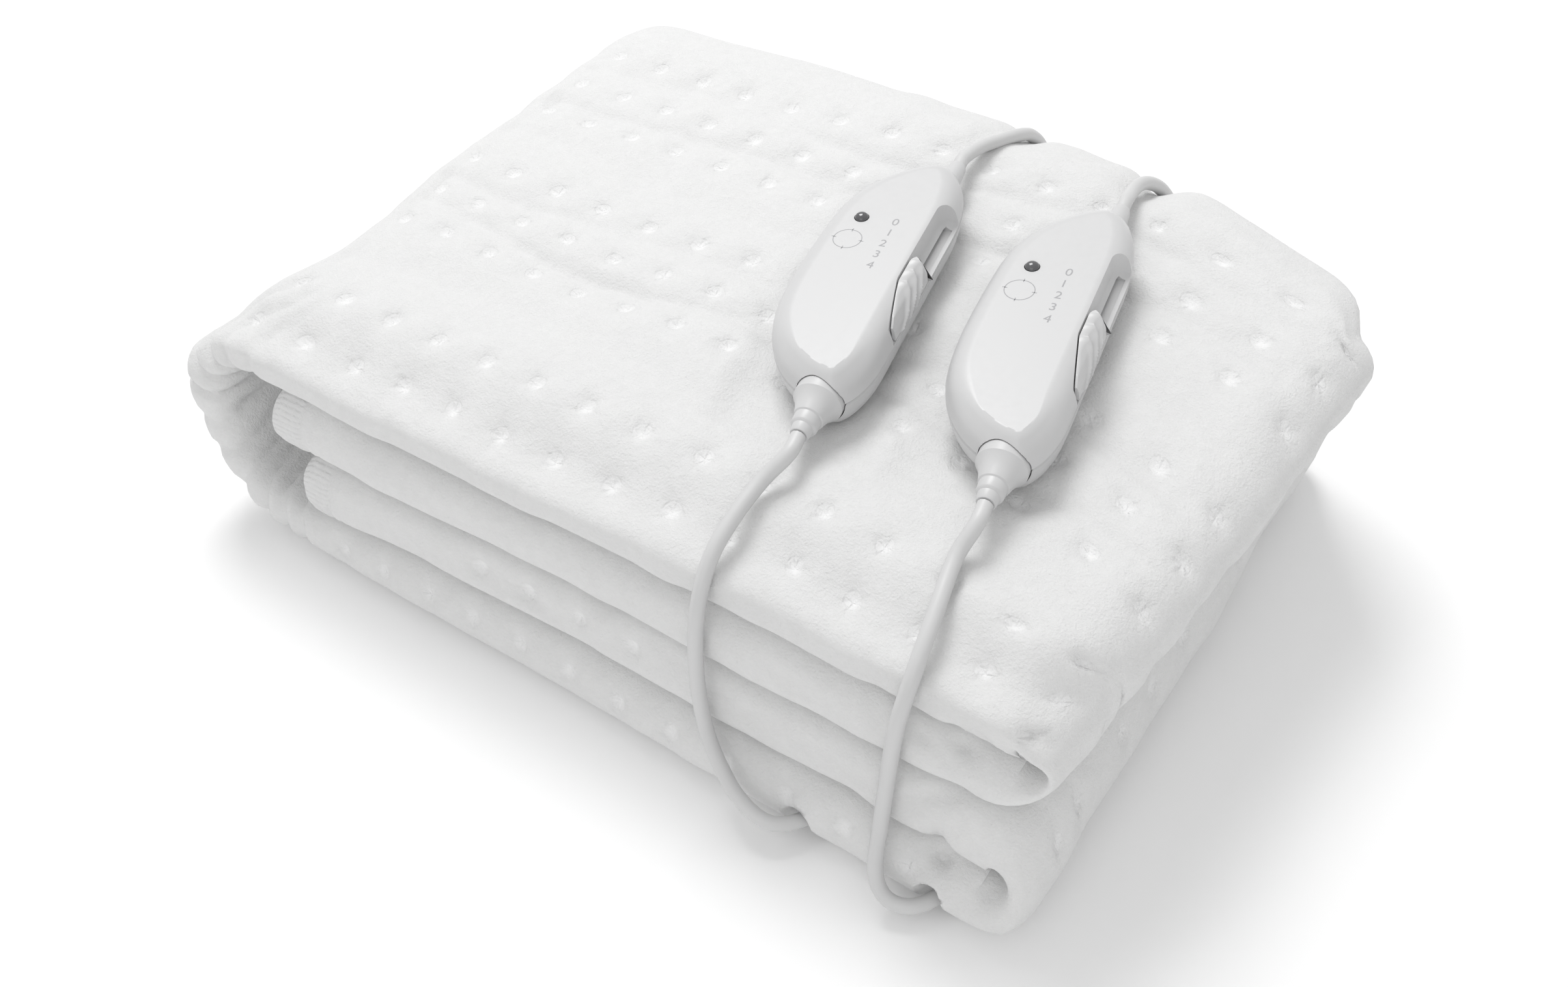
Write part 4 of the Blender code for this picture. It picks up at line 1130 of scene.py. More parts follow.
class UNDERBLANKET_OT_cords(Operator):
    """The two blanket leads and the two mains leads, each with its coil, tie and plug."""

    bl_idname = "underblanket.cords"
    bl_label = "Cords, coils, ties and plugs"

    def execute(self, context):
        sizes = context.scene.underblanket_cords
        jacket = plastic_material("cord_pvc", sizes.colour, 0.42, 0.000012)
        shell = plastic_material("plug_plastic", sizes.colour, 0.40, 0.000012)
        dark = plastic_material("tie_plastic", sizes.tie_colour, 0.50, 0.00002)
        metal = metal_material()
        for side in SIDES:
            route = lower_route(side)
            lead = add_object(f"blanket_cord_{side}", cord_curve("blanket_cord", route, sizes.diameter))
            lead.data.materials.append(jacket)
            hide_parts(f"blanket_lead_{side}")
            plug = self.add_plug(side, shell)
            tie = self.add_tie(side, dark)
            pins = [bpy.data.objects[f"plug_pin_{word}_{side}"] for word in ("a", "b")]
            for pin in pins:
                pin.data.materials[0] = metal
            route = mains_route(side, sizes)
            cord = add_object(f"mains_cord_{side}", cord_curve("mains_cord", route, sizes.diameter))
            cord.data.materials.append(jacket)
            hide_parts(f"mains_lead_{side}", f"mains_coil_{side}", f"mains_tail_{side}")
            getattr(sizes, f"{side}_length")
        return {"FINISHED"}

    def add_plug(self, side, finish):
        """A flat two-pin plug with a ribbed relief moulded on behind it."""
        rings = []
        rows = [(along, wide, tall, 0.55) for along, wide, tall in PLUG_ROWS]
        start, end = PLUG_RELIEF
        for rib in range(PLUG_RIBS):
            for share, high in ((0.0, 0), (0.12, 1), (0.62, 1), (0.74, 0), (0.96, 0)):
                part = (rib + share) / PLUG_RIBS
                first, last = PLUG_RELIEF_RADII
                radius = first * (1 - part) + (last - PLUG_RIB_HEIGHT) * part + high * PLUG_RIB_HEIGHT
                rows.append((start + (end - start) * part + 0.0001, 2 * radius, 2 * radius, 1.0))
        rows.append((end, 2 * PLUG_RELIEF_RADII[1], 2 * PLUG_RELIEF_RADII[1], 1.0))
        for along, wide, tall, square in rows:
            ring = []
            for index in range(PLUG_SIDES):
                angle = 2 * math.pi * (index + 0.5) / PLUG_SIDES
                across, up = math.cos(angle), math.sin(angle)
                ring.append((
                    wide / 2 * math.copysign(abs(across) ** square, across),
                    along,
                    tall / 2 * math.copysign(abs(up) ** square, up),
                ))
            rings.append(ring)
        data = loft("plug", rings, 40.0)
        data.transform(plug_frame(side))
        plug = add_object(f"plug_{side}", data)
        plug.data.materials.append(finish)
        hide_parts(f"plug_body_{side}")
        return plug

    def add_tie(self, side, finish):
        """A flat strap round the wound turns."""
        x, y = COILS[side]
        width, height = COIL_SECTION
        middle = Vector((x, y, COIL_FOOT + height / 2))
        away = Vector((math.cos(TIE_ANGLE), math.sin(TIE_ANGLE), 0.0))
        along = Vector((-away.y, away.x, 0.0))
        middle += away * COIL_TURN_RADIUS
        strap, thick = TIE_SIZE
        shape = []
        for grow in (CLEAR, CLEAR + thick):
            loop = []
            for side_x, side_z, first in ((1, 1, 0), (-1, 1, 90), (-1, -1, 180), (1, -1, 270)):
                for turn in range(0, 91, 15):
                    angle = math.radians(first + turn)
                    loop.append((
                        side_x * (width / 2 + grow - TIE_CORNER) + TIE_CORNER * math.cos(angle),
                        side_z * (height / 2 + grow - TIE_CORNER) + TIE_CORNER * math.sin(angle),
                    ))
            shape.append(loop)
        inner, outer = shape
        points, faces = [], []
        size = len(inner)
        rows = ((inner, -0.5), (outer, -0.46), (outer, 0.46), (inner, 0.5))
        for loop, shift in rows:
            for out, up in loop:
                points.append(middle + away * out + Vector((0, 0, up)) + along * shift * strap)
        for row in range(4):
            for index in range(size):
                following = (index + 1) % size
                above = ((row + 1) % 4) * size
                faces.append((row * size + index, row * size + following, above + following, above + index))
        tie = add_object(f"tie_{side}", mesh_from("tie", points, faces, 40.0))
        tie.data.materials.append(finish)
        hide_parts(f"coil_tie_{side}")
        return tie


# ---------------------------------------------------------------- the cloth
def round_in(reach, radius):
    """How far a rounded corner of this radius pulls an edge in, at a reach into the corner."""
    reach = np.clip(reach, 0.0, radius * 0.985)
    return radius - np.sqrt(radius**2 - reach**2)


def front_edge(x, z):
    """Where the pack's front lies, with its rounded corners."""
    heights, left, right = np.array(BAND_FRONTS).T
    share = ease((x - FRONT_LEFT_X) / (FRONT_RIGHT_X - FRONT_LEFT_X))
    edge = np.interp(z, heights, left) * (1 - share) + np.interp(z, heights, right) * share
    radius = np.interp(z, *np.array(FRONT_CORNERS).T)
    edge = edge + round_in(x - (END_X - radius), radius)
    start, radius = SPINE_FRONT_CORNER
    return edge + round_in(-x - start, radius)


def row_drift(x):
    """How far the rows of spots swing towards the front near the right-hand folds."""
    reach = np.maximum(x - DRIFT_START, 0.0)
    return DRIFT_SLOPE * np.where(reach < DRIFT_BEND, reach**2 / (2 * DRIFT_BEND), reach - DRIFT_BEND / 2)


def back_edge(x, z):
    """Where the pack's back lies, with its rounded corners."""
    pull = BACK_PULL * ramp(x, *BACK_PULL_REACH)
    upright = x + SPINE_LEAN * np.clip(1.1 - z / (4 * BAND), 0.0, 1.0) * ramp(-x, -SPINE_X, 0.020)
    start, radius = SPINE_BACK_CORNER
    corner = round_in(x - (END_X - BACK_CORNER), BACK_CORNER) + round_in(-upright - start, radius)
    return BACK - row_drift(x) - pull - corner


def settle(places):
    """Takes points of the even pack to their places in the slumped, uneven one."""
    x, y, z = places.T
    to_front = ramp(-y, *FRONT_REACH)
    to_back = ramp(y, *BACK_REACH)
    drift = row_drift(x)
    x = x - SPINE_BULGE * ramp(-x, *BULGE_LEFT) * ramp(-y, *BULGE_FRONT) * ramp(z, *BULGE_UP)
    start, over = SPREAD_ALONG
    share = np.clip((y - start) / over, 0.0, 1.0)
    upper = ramp(z, 1.8 * BAND, 0.4 * BAND)
    x = x + share * ramp(x, *SPREAD_RIGHT) * (UPPER_SPREAD * ramp(z, *CREST) - LOWER_TAPER * (1 - upper))
    moved = y - drift * ramp(y, *FRONT_DRIFT_END)
    moved = moved + to_front * (front_edge(x, z) - FRONT)
    moved = moved + to_back * (back_edge(x, z) + drift - BACK)
    sag = ramp(-y, *DROOP_FRONT) * sum(
        share * ease(1 - np.abs(z - level * BAND) / (0.9 * BAND)) for level, share in DROOP_SHARES)
    z = z - DROOP * sag * ramp(x, *DROOP_REACH)
    x = x + DROOP_OUT * sag * ramp(x, *DROOP_OUT_START) * (1 - ramp(x, *DROOP_OUT_END))
    base = 3 * BAND
    thin = FRONT_THIN * ramp(-y, *FRONT_THIN_REACH) + BACK_THIN * ramp(y, *BACK_THIN_REACH)
    lifted = np.where(z > base, base + (z - base) * (1 - thin), z)
    for place in CONTROLLERS.values():
        across, along = controller_reach(x, moved, place)
        beside = 1 - ramp(abs(across - PRESS_MIDDLE), *PRESS_ACROSS)
        near = beside * (1 - ramp(abs(along), *PRESS_ALONG))
        lifted = lifted - np.where(z > base, PRESS * near * (z - base) / BAND, 0.0)
    for cx, start, depth in CORD_DENTS:
        press = depth * np.exp(-((x - cx) / DENT_HALF_WIDTH) ** 2)
        lifted = lifted - press * ramp(y, start, DENT_REACH) * ramp(z, *DENT_TOP)
        moved = moved - press * ramp(y, *DENT_BACK) * ramp(z, *DENT_BACK_UP)
    return np.stack((x, moved, lifted), axis=1)


def value_noise(places, seed):
    """Smooth noise from 0 to 1, the same each time, one cell for each unit."""
    cell = np.floor(places)
    part = places - cell
    part = part * part * (3 - 2 * part)
    total = np.zeros(len(places))
    for corner in range(8):
        offset = np.array([(corner >> bit) & 1 for bit in range(3)])
        where = cell + offset
        mixed = np.sin(where @ (12.9898, 78.233, 37.719) + seed * 4.137) * 43758.5453
        weight = np.prod(np.where(offset, part, 1 - part), axis=1)
        total += weight * (mixed - np.floor(mixed))
    return total


def spaced(start, end, step):
    """Places from start up to but not including end, about a step apart."""
    return np.linspace(start, end, max(2, int(round(abs(end - start) / step))), endpoint=False)


def arc(y, middle, reach, depth, start, end, count, squareness=FOLD_SQUARENESS):
    """Rows round a fold, as y, n and the outward direction."""
    angle = np.radians(np.linspace(start, end, count))
    out, up = np.cos(angle), np.sin(angle)
    round_out = np.copysign(np.abs(out) ** squareness, out)
    round_up = np.copysign(np.abs(up) ** squareness, up)
    return np.stack((y + depth * round_out, middle + reach * round_up, np.sign(depth) * out, up), axis=1)


def cloth_rows(sizes):
    """The section's outline as rows of y, n, outward y, outward n and kind.

    Kind 0 rows are hidden, kind 1 rows have more stations where the outer face shows, and kind 2
    rows have them all along.
    """
    layer = (STRIP - (LAYERS - 1) * LAYER_GAP) / LAYERS / STRIP
    gap = LAYER_GAP / STRIP
    slit = sizes.slit / STRIP / 2
    half = 0.5
    nose = FRONT + NOSE_DEPTH
    back = BACK - BACK_FOLD_DEPTH
    free = BACK - FREE_EDGE_IN
    inner_edge = nose + INNER_EDGE_IN
    inside_back = BACK - BACK_FOLD_INSIDE
    hidden = HIDDEN_ROW_STEP
    pieces = []

    def level(start, end, n, step, up=0.0):
        y = spaced(start, end, step)
        return np.stack((y, np.full_like(y, n), np.zeros_like(y), np.full_like(y, up)), axis=1)

    def flat(start, end, n, step, kind, up=0.0):
        pieces.append((level(start, end, n, step, up), kind))

    def fold(kind, *arguments, faced=True):
        rows = arc(*arguments)
        if not faced:
            rows[:, 2:] = 0.0
        pieces.append((rows, kind))

    def edge(y, first, second):
        pieces.append((np.array(((y, first, 0, 0), (y, second, 0, 0))), 0))

    flat(back, nose, half, sizes.face_step, 1, 1.0)
    fold(2, nose, 0.0, half, -NOSE_DEPTH, 90, -90, 22)
    flat(nose, nose + NOSE_SHOWN, -half, NOSE_SHOWN_STEP, 1, -1.0)
    flat(nose + NOSE_SHOWN, free, -half, hidden, 0)
    edge(free, -half, -half + layer / 2 - slit)
    # Down the gap inside the doubled cloth, to the fold that halves it, and back.
    for sign in (-1, 1):
        low = -half + layer / 2 + sign * slit
        high = half - GAP_SHARE * layer - sign * slit
        middle = sign * slit
        front_depth = NOSE_DEPTH - GAP_SHARE * NOSE_INSIDE - sign * sizes.slit / 2
        back_depth = (BACK_FOLD_INSIDE - BACK_FOLD_DEPTH) / 2 + BACK_GAP_DEPTH - sign * sizes.slit / 2
        rows = np.concatenate((
            level(free - 0.001, nose, low, hidden),
            arc(nose, (high + low) / 2, (high - low) / 2, -front_depth, -90, 90, 9),
            level(nose, inside_back, high, hidden),
            arc(inside_back, (high + middle) / 2, (high - middle) / 2, back_depth, 90, -90, 7),
            level(inside_back, inner_edge + 0.004, middle, hidden),
        ))
        rows[:, 2:] = 0.0
        pieces.append((rows if sign < 0 else rows[::-1], 0))
    edge(free, -half + layer / 2 + slit, -half + layer)
    flat(free - 0.002, nose, -half + layer, hidden, 0)
    fold(0, nose, 0.0, half - layer, -NOSE_DEPTH + NOSE_INSIDE, -90, 90, 9, faced=False)
    flat(nose + 0.002, inside_back, half - layer, hidden, 0)
    edge(inside_back, half - layer, half - layer - gap)
    flat(inside_back - 0.002, inner_edge, half - layer - gap, hidden, 0)
    edge(inner_edge, half - layer - gap, -half + layer + gap)
    flat(inner_edge + 0.002, back - 0.002, -half + layer + gap, hidden, 0)
    fold(2, back, (layer + gap) / 2, (1 - layer - gap) / 2, BACK_FOLD_DEPTH, -90, 90, 14)
    rows = np.concatenate([np.column_stack((rows, np.full(len(rows), kind))) for rows, kind in pieces])
    return rows[:-1]  # the last row of the back fold is the first row of the outer face


def cloth_path(sizes):
    """Stations along the strip: x, z, thinning, kind, distance to the hem and distance along.

    Kind 0 stations are on every row, kind 1 on the shown and front rows, kind 2 on the front rows alone.
    """
    fold_x = END_X - BAND
    heights = [BAND * band + STRIP / 2 for band in range(4)]
    found = []

    def run(start, end, height, shown):
        way = 1.0 if end > start else -1.0
        span = abs(end - start)
        step = sizes.face_step if shown else sizes.front_step
        count = int(round(span / step))
        every = max(1, int(round(sizes.hidden_step / step)))
        for index in range(count + 1):
            kind = 0 if index % every == 0 or index == count else (1 if shown else 2)
            found.append((start + way * span * index / count, height, 1.0, kind))

    def bend(low, high):
        middle = (low + high) / 2
        for step in range(1, BEND_STEPS):
            angle = -math.pi / 2 + math.pi * step / BEND_STEPS
            squeeze = 1 - (1 - BEND_SQUEEZE) * math.cos(angle) ** 1.4
            radius = (high - low) / 2 + STRIP * (1 - squeeze) / 2
            kind = 0 if step % 3 == 0 else 1
            x, z = fold_x + radius * math.cos(angle), middle + radius * math.sin(angle)
            found.append((x, z, squeeze, kind))

    def hem_run(x):
        return x + HEM_RUN * sizes.hem_width

    def fine_hem(start, end, height):
        count = int(round(abs(end - start) / sizes.hem_step))
        for index in range(count + 1):
            kind = 0 if index % 6 == 0 or index == count else 2
            found.append((start + (end - start) * index / count, height, 1.0, kind))

    fine_hem(HEM_UPPER_X, hem_run(HEM_UPPER_X), heights[2])
    run(hem_run(HEM_UPPER_X) + sizes.hem_step, fold_x, heights[2], False)
    bend(heights[2], heights[3])
    run(fold_x, SPINE_X, heights[3], True)
    top, bottom = heights[3], heights[0]
    middle, tall = (top + bottom) / 2, (top - bottom) / 2
    for step in range(1, SPINE_STEPS):
        angle = math.pi / 2 + math.pi * step / SPINE_STEPS
        reach = abs(math.cos(angle)) ** (2 / SPINE_POWER)
        rise = math.copysign(abs(math.sin(angle)) ** (2 / SPINE_POWER), math.sin(angle))
        lean = SPINE_LEAN * reach * (1 - rise) / 2
        kind = 0 if step % 4 == 0 else 1
        found.append((SPINE_X - SPINE_REACH * reach - lean, middle + tall * rise, 1.0, kind))
    run(SPINE_X, fold_x, heights[0], False)
    bend(heights[0], heights[1])
    run(fold_x, hem_run(HEM_LOWER_X) + sizes.hem_step, heights[1], False)
    fine_hem(hem_run(HEM_LOWER_X), HEM_LOWER_X, heights[1])
    path = np.array(found)
    moves = np.linalg.norm(np.diff(path[:, :2], axis=0), axis=1)
    along = np.concatenate(((0.0,), np.cumsum(moves)))
    hem = np.minimum(along, along[-1] - along)
    return np.column_stack((path, hem, along))


def outward(path):
    """The strip's outward direction at each station, as x and z."""
    ahead = np.gradient(path[:, :2], axis=0)
    ahead /= np.linalg.norm(ahead, axis=1)[:, None]
    normals = np.stack((ahead[:, 1], -ahead[:, 0]), axis=1)
    in_bend = path[:, 0] > END_X - BAND + 1e-9
    for low, high in ((0, 1), (2, 3)):
        middle = (low + high) / 2 * BAND + STRIP / 2
        there = in_bend & (abs(path[:, 1] - middle) < 0.6 * BAND)
        around = path[there, :2] - (END_X - BAND, middle)
        normals[there] = around / np.linalg.norm(around, axis=1)[:, None]
    return normals


def spot_places(path, normals):
    """The middle of every weld spot on the even pack: on top, over the folds, on the spine and the front."""
    shown = (path[:, 1] > 3.4 * BAND) | (path[:, 0] > END_X - BAND) | (path[:, 0] < SPINE_X)
    outside = path[:, :2] + normals * (path[:, 2] * STRIP / 2)[:, None]
    moves = np.linalg.norm(np.diff(outside, axis=0), axis=1)
    along = np.concatenate(((0.0,), np.cumsum(moves)))
    top = np.nonzero((path[:, 1] > 3.4 * BAND) & (np.abs(path[:, 0]) < 0.1))[0]
    middle = top[len(top) // 2]
    start = along[middle] + (path[middle, 0] - FIRST_COLUMN_X) % PITCH
    places = []
    for number in range(-60, 60):
        at = start + PITCH * number
        if not along[0] + 0.02 < at < along[-1] - 0.02:
            continue
        index = int(np.searchsorted(along, at))
        if not shown[index] or path[index, 1] < 1.2 * BAND and path[index, 0] > 0:
            continue
        share = (at - along[index - 1]) / max(along[index] - along[index - 1], 1e-9)
        spot = outside[index - 1] * (1 - share) + outside[index] * share
        places.extend((spot[0], y, spot[1]) for y in TOP_ROWS)
    for first, number, height in FRONT_SPOTS:
        places.extend((first + PITCH * index, FRONT, height) for index in range(number))
    return np.array(places)


class UNDERBLANKET_OT_cloth(Operator):
    """The fleece, folded back and forth and wrapped into the pack, with its weld spots and hems."""

    bl_idname = "underblanket.cloth"
    bl_label = "Folded cloth"

    def execute(self, context):
        sizes = context.scene.underblanket_cloth
        rows = cloth_rows(sizes)
        path = cloth_path(sizes)
        normals = outward(path)
        spots = spot_places(path, normals)
        section = rows[:, :2] * (1.0, STRIP)
        steps = np.linalg.norm(np.diff(section, axis=0, append=section[:1]), axis=1)
        around = np.concatenate(((0.0,), np.cumsum(steps)[:-1]))
        kinds = path[:, 3]
        wanted = {
            0: np.nonzero(kinds == 0)[0],
            1: np.nonzero(kinds < 2)[0],
            2: np.arange(len(path)),
        }
        points, hems, arounds, faces, welds, outer = [], [], [], [], [], []
        rings = []
        count = 0
        for row, at in zip(rows, around):
            y, n, out_y, out_n, kind = row
            index = wanted[int(kind)]
            where, weld = self.sweep(path[index], normals[index], y, n, out_y, out_n, spots, sizes)
            welds.append(weld)
            outer.append(np.full(len(index), float(abs(out_y) + abs(out_n) > 0)))
            rings.append((index, count + np.arange(len(index))))
            count += len(index)
            points.append(where)
            hems.extend(self.hem_mask(path[index, 4], sizes))
            arounds.extend([at] * len(index))
        for first, second in zip(rings, rings[1:] + rings[:1]):
            self.zip_rings(faces, first, second)
        for end in (0, -1):
            faces.append([int(ring[1][end]) for ring in rings])
        points = self.crumple(settle(np.concatenate(points)), sizes)
        data = mesh_from("cloth", points.tolist(), faces, 60.0)
        self.crease(data, np.concatenate(outer))
        data.attributes.new("weld", "FLOAT_VECTOR", "POINT").data.foreach_set(
            "vector", np.concatenate(welds).astype(np.float32).ravel())
        for name, values in (("hem", hems), ("around", arounds)):
            attribute = data.attributes.new(name, "FLOAT", "POINT")
            attribute.data.foreach_set("value", np.array(values, np.float32))
        cloth = add_object("folded_cloth", data)
        cloth.data.materials.append(fleece_material(sizes.colour, sizes.weld_colour))
        groove_tools = [self.groove(side) for side in SIDES]
        for tool in groove_tools:
            change = cloth.modifiers.new(tool.name, "BOOLEAN")
            change.operation = "DIFFERENCE"
            change.solver = "EXACT"
            change.object = tool
        apply_modifiers(cloth)
        for tool in groove_tools:
            bpy.data.objects.remove(tool)
        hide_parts("blanket")
        return {"FINISHED"}

    def hem_mask(self, distance, sizes):
        """1 on the hem, 0 past its seam."""
        flat, fading = sizes.hem_width * HEM_SHARE, sizes.hem_width * (1 - HEM_SHARE)
        return (1 - ramp(distance, flat, fading)).tolist()

    def sweep(self, path, normals, y, n, out_y, out_n, spots, sizes):
        """One row of the section at the given stations, dimpled and settled."""
        x, z, thin, _, hem, along = path.T
        weld = np.zeros((len(x), 3))
        thin = thin * (1 - HEM_THIN * (1 - ramp(hem, *HEM_THIN_REACH)))
        point = np.stack((x + n * STRIP * thin * normals[:, 0], np.full(len(x), y),
                          z + n * STRIP * thin * normals[:, 1]), axis=1)
        facing = np.stack((out_n * normals[:, 0], np.full(len(x), out_y), out_n * normals[:, 1]), axis=1)
        if abs(out_y) + abs(out_n) > 0:
            sink = np.zeros(len(x))
            if out_n > 0.5:
                on_top = point[:, 2] > 3.9 * BAND
                for trough_y, depth, wide in TROUGHS:
                    swing = TROUGH_SWING * np.sin(point[:, 0] / TROUGH_SWING_LENGTH + trough_y * 90)
                    cells = (point[:, 0] / TROUGH_SWELL_CELL, np.full(len(x), trough_y * 70), 0 * x)
                    swell = TROUGH_SWELL + TROUGH_SWELL_NOISE * value_noise(np.stack(cells, axis=1), 3)
                    reach = np.abs(y - trough_y + swing) / wide
                    sink += on_top * depth * sizes.trough_gain * swell * np.exp(-(reach**1.35))
            away2 = ((spots[None, :, :] - point[:, None, :]) ** 2).sum(2)
            sink += sizes.spot_depth * np.exp(-away2 / sizes.spot_radius**2).sum(1)
            sink += sizes.pinch_depth * np.exp(-away2 / sizes.pinch_radius**2).sum(1)
            sink += sizes.hem_dip * sum(
                share * np.exp(-(((hem - sizes.hem_width * at) / wide) ** 2))
                for at, wide, share in SEAM_LINES
            )
            apart = point - spots[away2.argmin(1)]
            near = 1 - ramp(np.sqrt(away2.min(1)), *WELD_REACH)
            tangent = (-normals[:, 1] * apart[:, 0] + normals[:, 0] * apart[:, 2])
            off = normals[:, 0] * apart[:, 0] + normals[:, 1] * apart[:, 2]
            across = out_n * apart[:, 1] - out_y * off
            weld = np.stack((tangent, across, near), axis=1)
            bent = ramp(-x, *GATHER_LEFT) * (1 - ramp(y, *GATHER_FRONT))
            slant = along + GATHER_SLANT * (y - FRONT)
            cells = (along / GATHER_CELL[0], np.full(len(x), y / GATHER_CELL[1]), 0 * x)
            swing = value_noise(np.stack(cells, axis=1), 5)
            valley = 1 - np.abs(np.sin(math.pi * (slant / sizes.gather_pitch + GATHER_SWING * swing)))
            sink += sizes.gather * bent * valley**1.6 * (0.4 + 0.9 * swing)
            sink = np.minimum(sink, sizes.most_sunk)
            sink[point[:, 2] < 0.002] = 0.0
            point = point - facing * sink[:, None]
        return point, weld

    def crumple(self, point, sizes):
        """Slow waves and small ripples that move neighbouring layers together, none near the hardware."""
        free = self.away_from_hardware(point)
        moved = np.zeros_like(point)
        for axis in range(3):
            moved[:, axis] += sizes.slump * (value_noise(point / SLUMP_CELL, 11 + axis) - 0.5)
            moved[:, axis] += sizes.ripple * (value_noise(point / RIPPLE_CELL, 21 + axis) - 0.5)
        lifted = ramp(point[:, 2], *ON_FLOOR)
        moved[:, 2] *= lifted
        moved[:, :2] *= (ON_FLOOR_SLIDE + (1 - ON_FLOOR_SLIDE) * lifted)[:, None]
        return point + moved * free[:, None]

    def crease(self, data, outer):
        """Presses short creases and pits into the shown faces, along the surface's own normals."""
        count = len(data.vertices)
        place, normal = np.empty(count * 3, np.float32), np.empty(count * 3, np.float32)
        data.vertices.foreach_get("co", place)
        data.vertex_normals.foreach_get("vector", normal)
        place, normal = place.reshape(-1, 3).astype(float), normal.reshape(-1, 3).astype(float)
        sink = np.zeros(count)
        for start, end, depth, width in CREASES:
            start, end = np.array(start), np.array(end)
            side = end - start
            share = np.clip((place - start) @ side / (side @ side), 0.0, 1.0)
            away = np.linalg.norm(place - start - share[:, None] * side, axis=1)
            sink += depth * np.exp(-((away / width) ** 1.6)) * (0.35 + 0.65 * np.sin(math.pi * share))
        place -= normal * (np.minimum(sink, CREASE_LIMIT) * outer)[:, None]
        data.vertices.foreach_set("co", place.astype(np.float32).ravel())
        data.update()

    def away_from_hardware(self, point):
        """0 at a cord or under a controller, 1 further off."""
        nearest = np.full(len(point), 1.0)
        for side in SIDES:
            for route in (LOWER_ROUTES[side], UPPER_ROUTES[side]):
                for place in smooth_line(route, 0.005):
                    nearest = np.minimum(nearest, np.linalg.norm(point - tuple(place), axis=1))
        free = ramp(nearest, *STILL_CORD)
        for place in CONTROLLERS.values():
            across, along = controller_reach(point[:, 0], point[:, 1], place)
            beside = 1 - ramp(abs(across - PRESS_MIDDLE), *STILL_ACROSS)
            free = free * (1 - beside * (1 - ramp(abs(along), *STILL_ALONG)))
        return free

    def zip_rings(self, faces, first, second):
        """Joins two rows that may have different numbers of stations."""
        stations, corners = first
        other_stations, other_corners = second
        if len(stations) == len(other_stations):
            for a, b, c, d in zip(corners, corners[1:], other_corners[1:], other_corners):
                faces.append((int(a), int(b), int(c), int(d)))
            return
        here, there = 0, 0
        while here < len(stations) - 1 or there < len(other_stations) - 1:
            step_first = there == len(other_stations) - 1 or (
                here < len(stations) - 1 and stations[here + 1] <= other_stations[there + 1]
            )
            if step_first:
                faces.append((int(corners[here]), int(corners[here + 1]), int(other_corners[there])))
                here += 1
            else:
                faces.append((int(corners[here]), int(other_corners[there + 1]), int(other_corners[there])))
                there += 1

    def groove(self, side):
        """The hollow that the cord presses into the pack's underside."""
        end, before = (Vector(LOWER_ROUTES[side][index]) for index in (-1, -2))
        along = end - before
        along.z = 0
        along.normalize()
        place = Matrix.Translation((end.x, end.y, 0.0)) @ along.to_track_quat("Y", "Z").to_matrix().to_4x4()
        half = GROOVE_WIDTH / 2
        corners = [(-half, -0.010), (half, -0.010)]
        for step in range(13):
            angle = math.pi * step / 12
            corners.append((half * math.cos(angle), GROOVE_HEIGHT - half + half * math.sin(angle)))
        rings = [[(x, y, z) for x, z in corners] for y in (-GROOVE_LENGTH, CLEAR)]
        data = loft(f"groove_{side}", rings)
        data.transform(place)
        made = bpy.data.objects.new(f"groove_{side}", data)
        bpy.context.scene.collection.objects.link(made)
        return made


def apply_modifiers(made):
    """Keeps what the modifiers make as the object's own mesh."""
    evaluated = made.evaluated_get(bpy.context.evaluated_depsgraph_get())
    data = bpy.data.meshes.new_from_object(evaluated)
    made.modifiers.clear()
    old = made.data
    made.data = data
    bpy.data.meshes.remove(old)


# ---------------------------------------------------------------- controllers
def housing_rings(table, end_table, step):
    """The controller's outline moved in at each height, by another table at the strain relief's end."""
    smooth = smooth_line([(x, y, 0.0) for x, y in OUTLINE], step, True)
    line = np.array([(point.x, point.y) for point in smooth])
    side = np.roll(line, -1, axis=0) - line
    low_end = ramp(0.35 * np.minimum(line[:, 0], 0.0) - line[:, 1], *END_REACH)
    centre = line.mean(axis=0)
    rings = []
    for height, inset in table:
        at_end = np.interp(height, *np.array(end_table).T)
        wanted = inset + (at_end - inset) * low_end
        inner, outer = np.zeros(len(line)), np.ones(len(line))
        for _ in range(20):
            share = (inner + outer) / 2
            place = centre + (line - centre) * share[:, None]
            apart = place[:, None, :] - line[None, :, :]
            along = np.clip((apart * side).sum(2) / (side**2).sum(1), 0.0, 1.0)
            clear = (np.linalg.norm(apart - along[:, :, None] * side, axis=2) - wanted).min(1) > 0
            inner, outer = np.where(clear, share, inner), np.where(clear, outer, share)
        place = centre + (line - centre) * outer[:, None]
        rings.append([(x, y, height) for x, y in place])
    return rings


def hollow_edge(y, grow):
    """The recess's hollowed wall at one place along the housing, from high to low, as across and height."""
    wall = inner_edge_x(y)
    radius = min(HOLLOW_RADIUS, max(HOUSING_SIDE - wall, 0.0006))
    edge = []
    for step in range(8):
        angle = math.pi / 2 * step / 7
        edge.append((wall + radius * (1 - math.cos(angle)) + grow,
                     CHANNEL_FLOOR + radius * (1 - math.sin(angle)) + grow))
    return edge


def inner_edge_x(y):
    """Where the slide's recess starts across the housing: straight, then out to the side at its low end."""
    low, high = CHANNEL
    taper = (SLIDER_TIP_X - CHANNEL_WALL) * max(0.0, 1 - (y - low) / CHANNEL_TAPER)
    reach = max(0.0, y - (high - CHANNEL_END))
    return CHANNEL_WALL + taper + CHANNEL_END - math.sqrt(max(CHANNEL_END**2 - reach**2, 0.0))


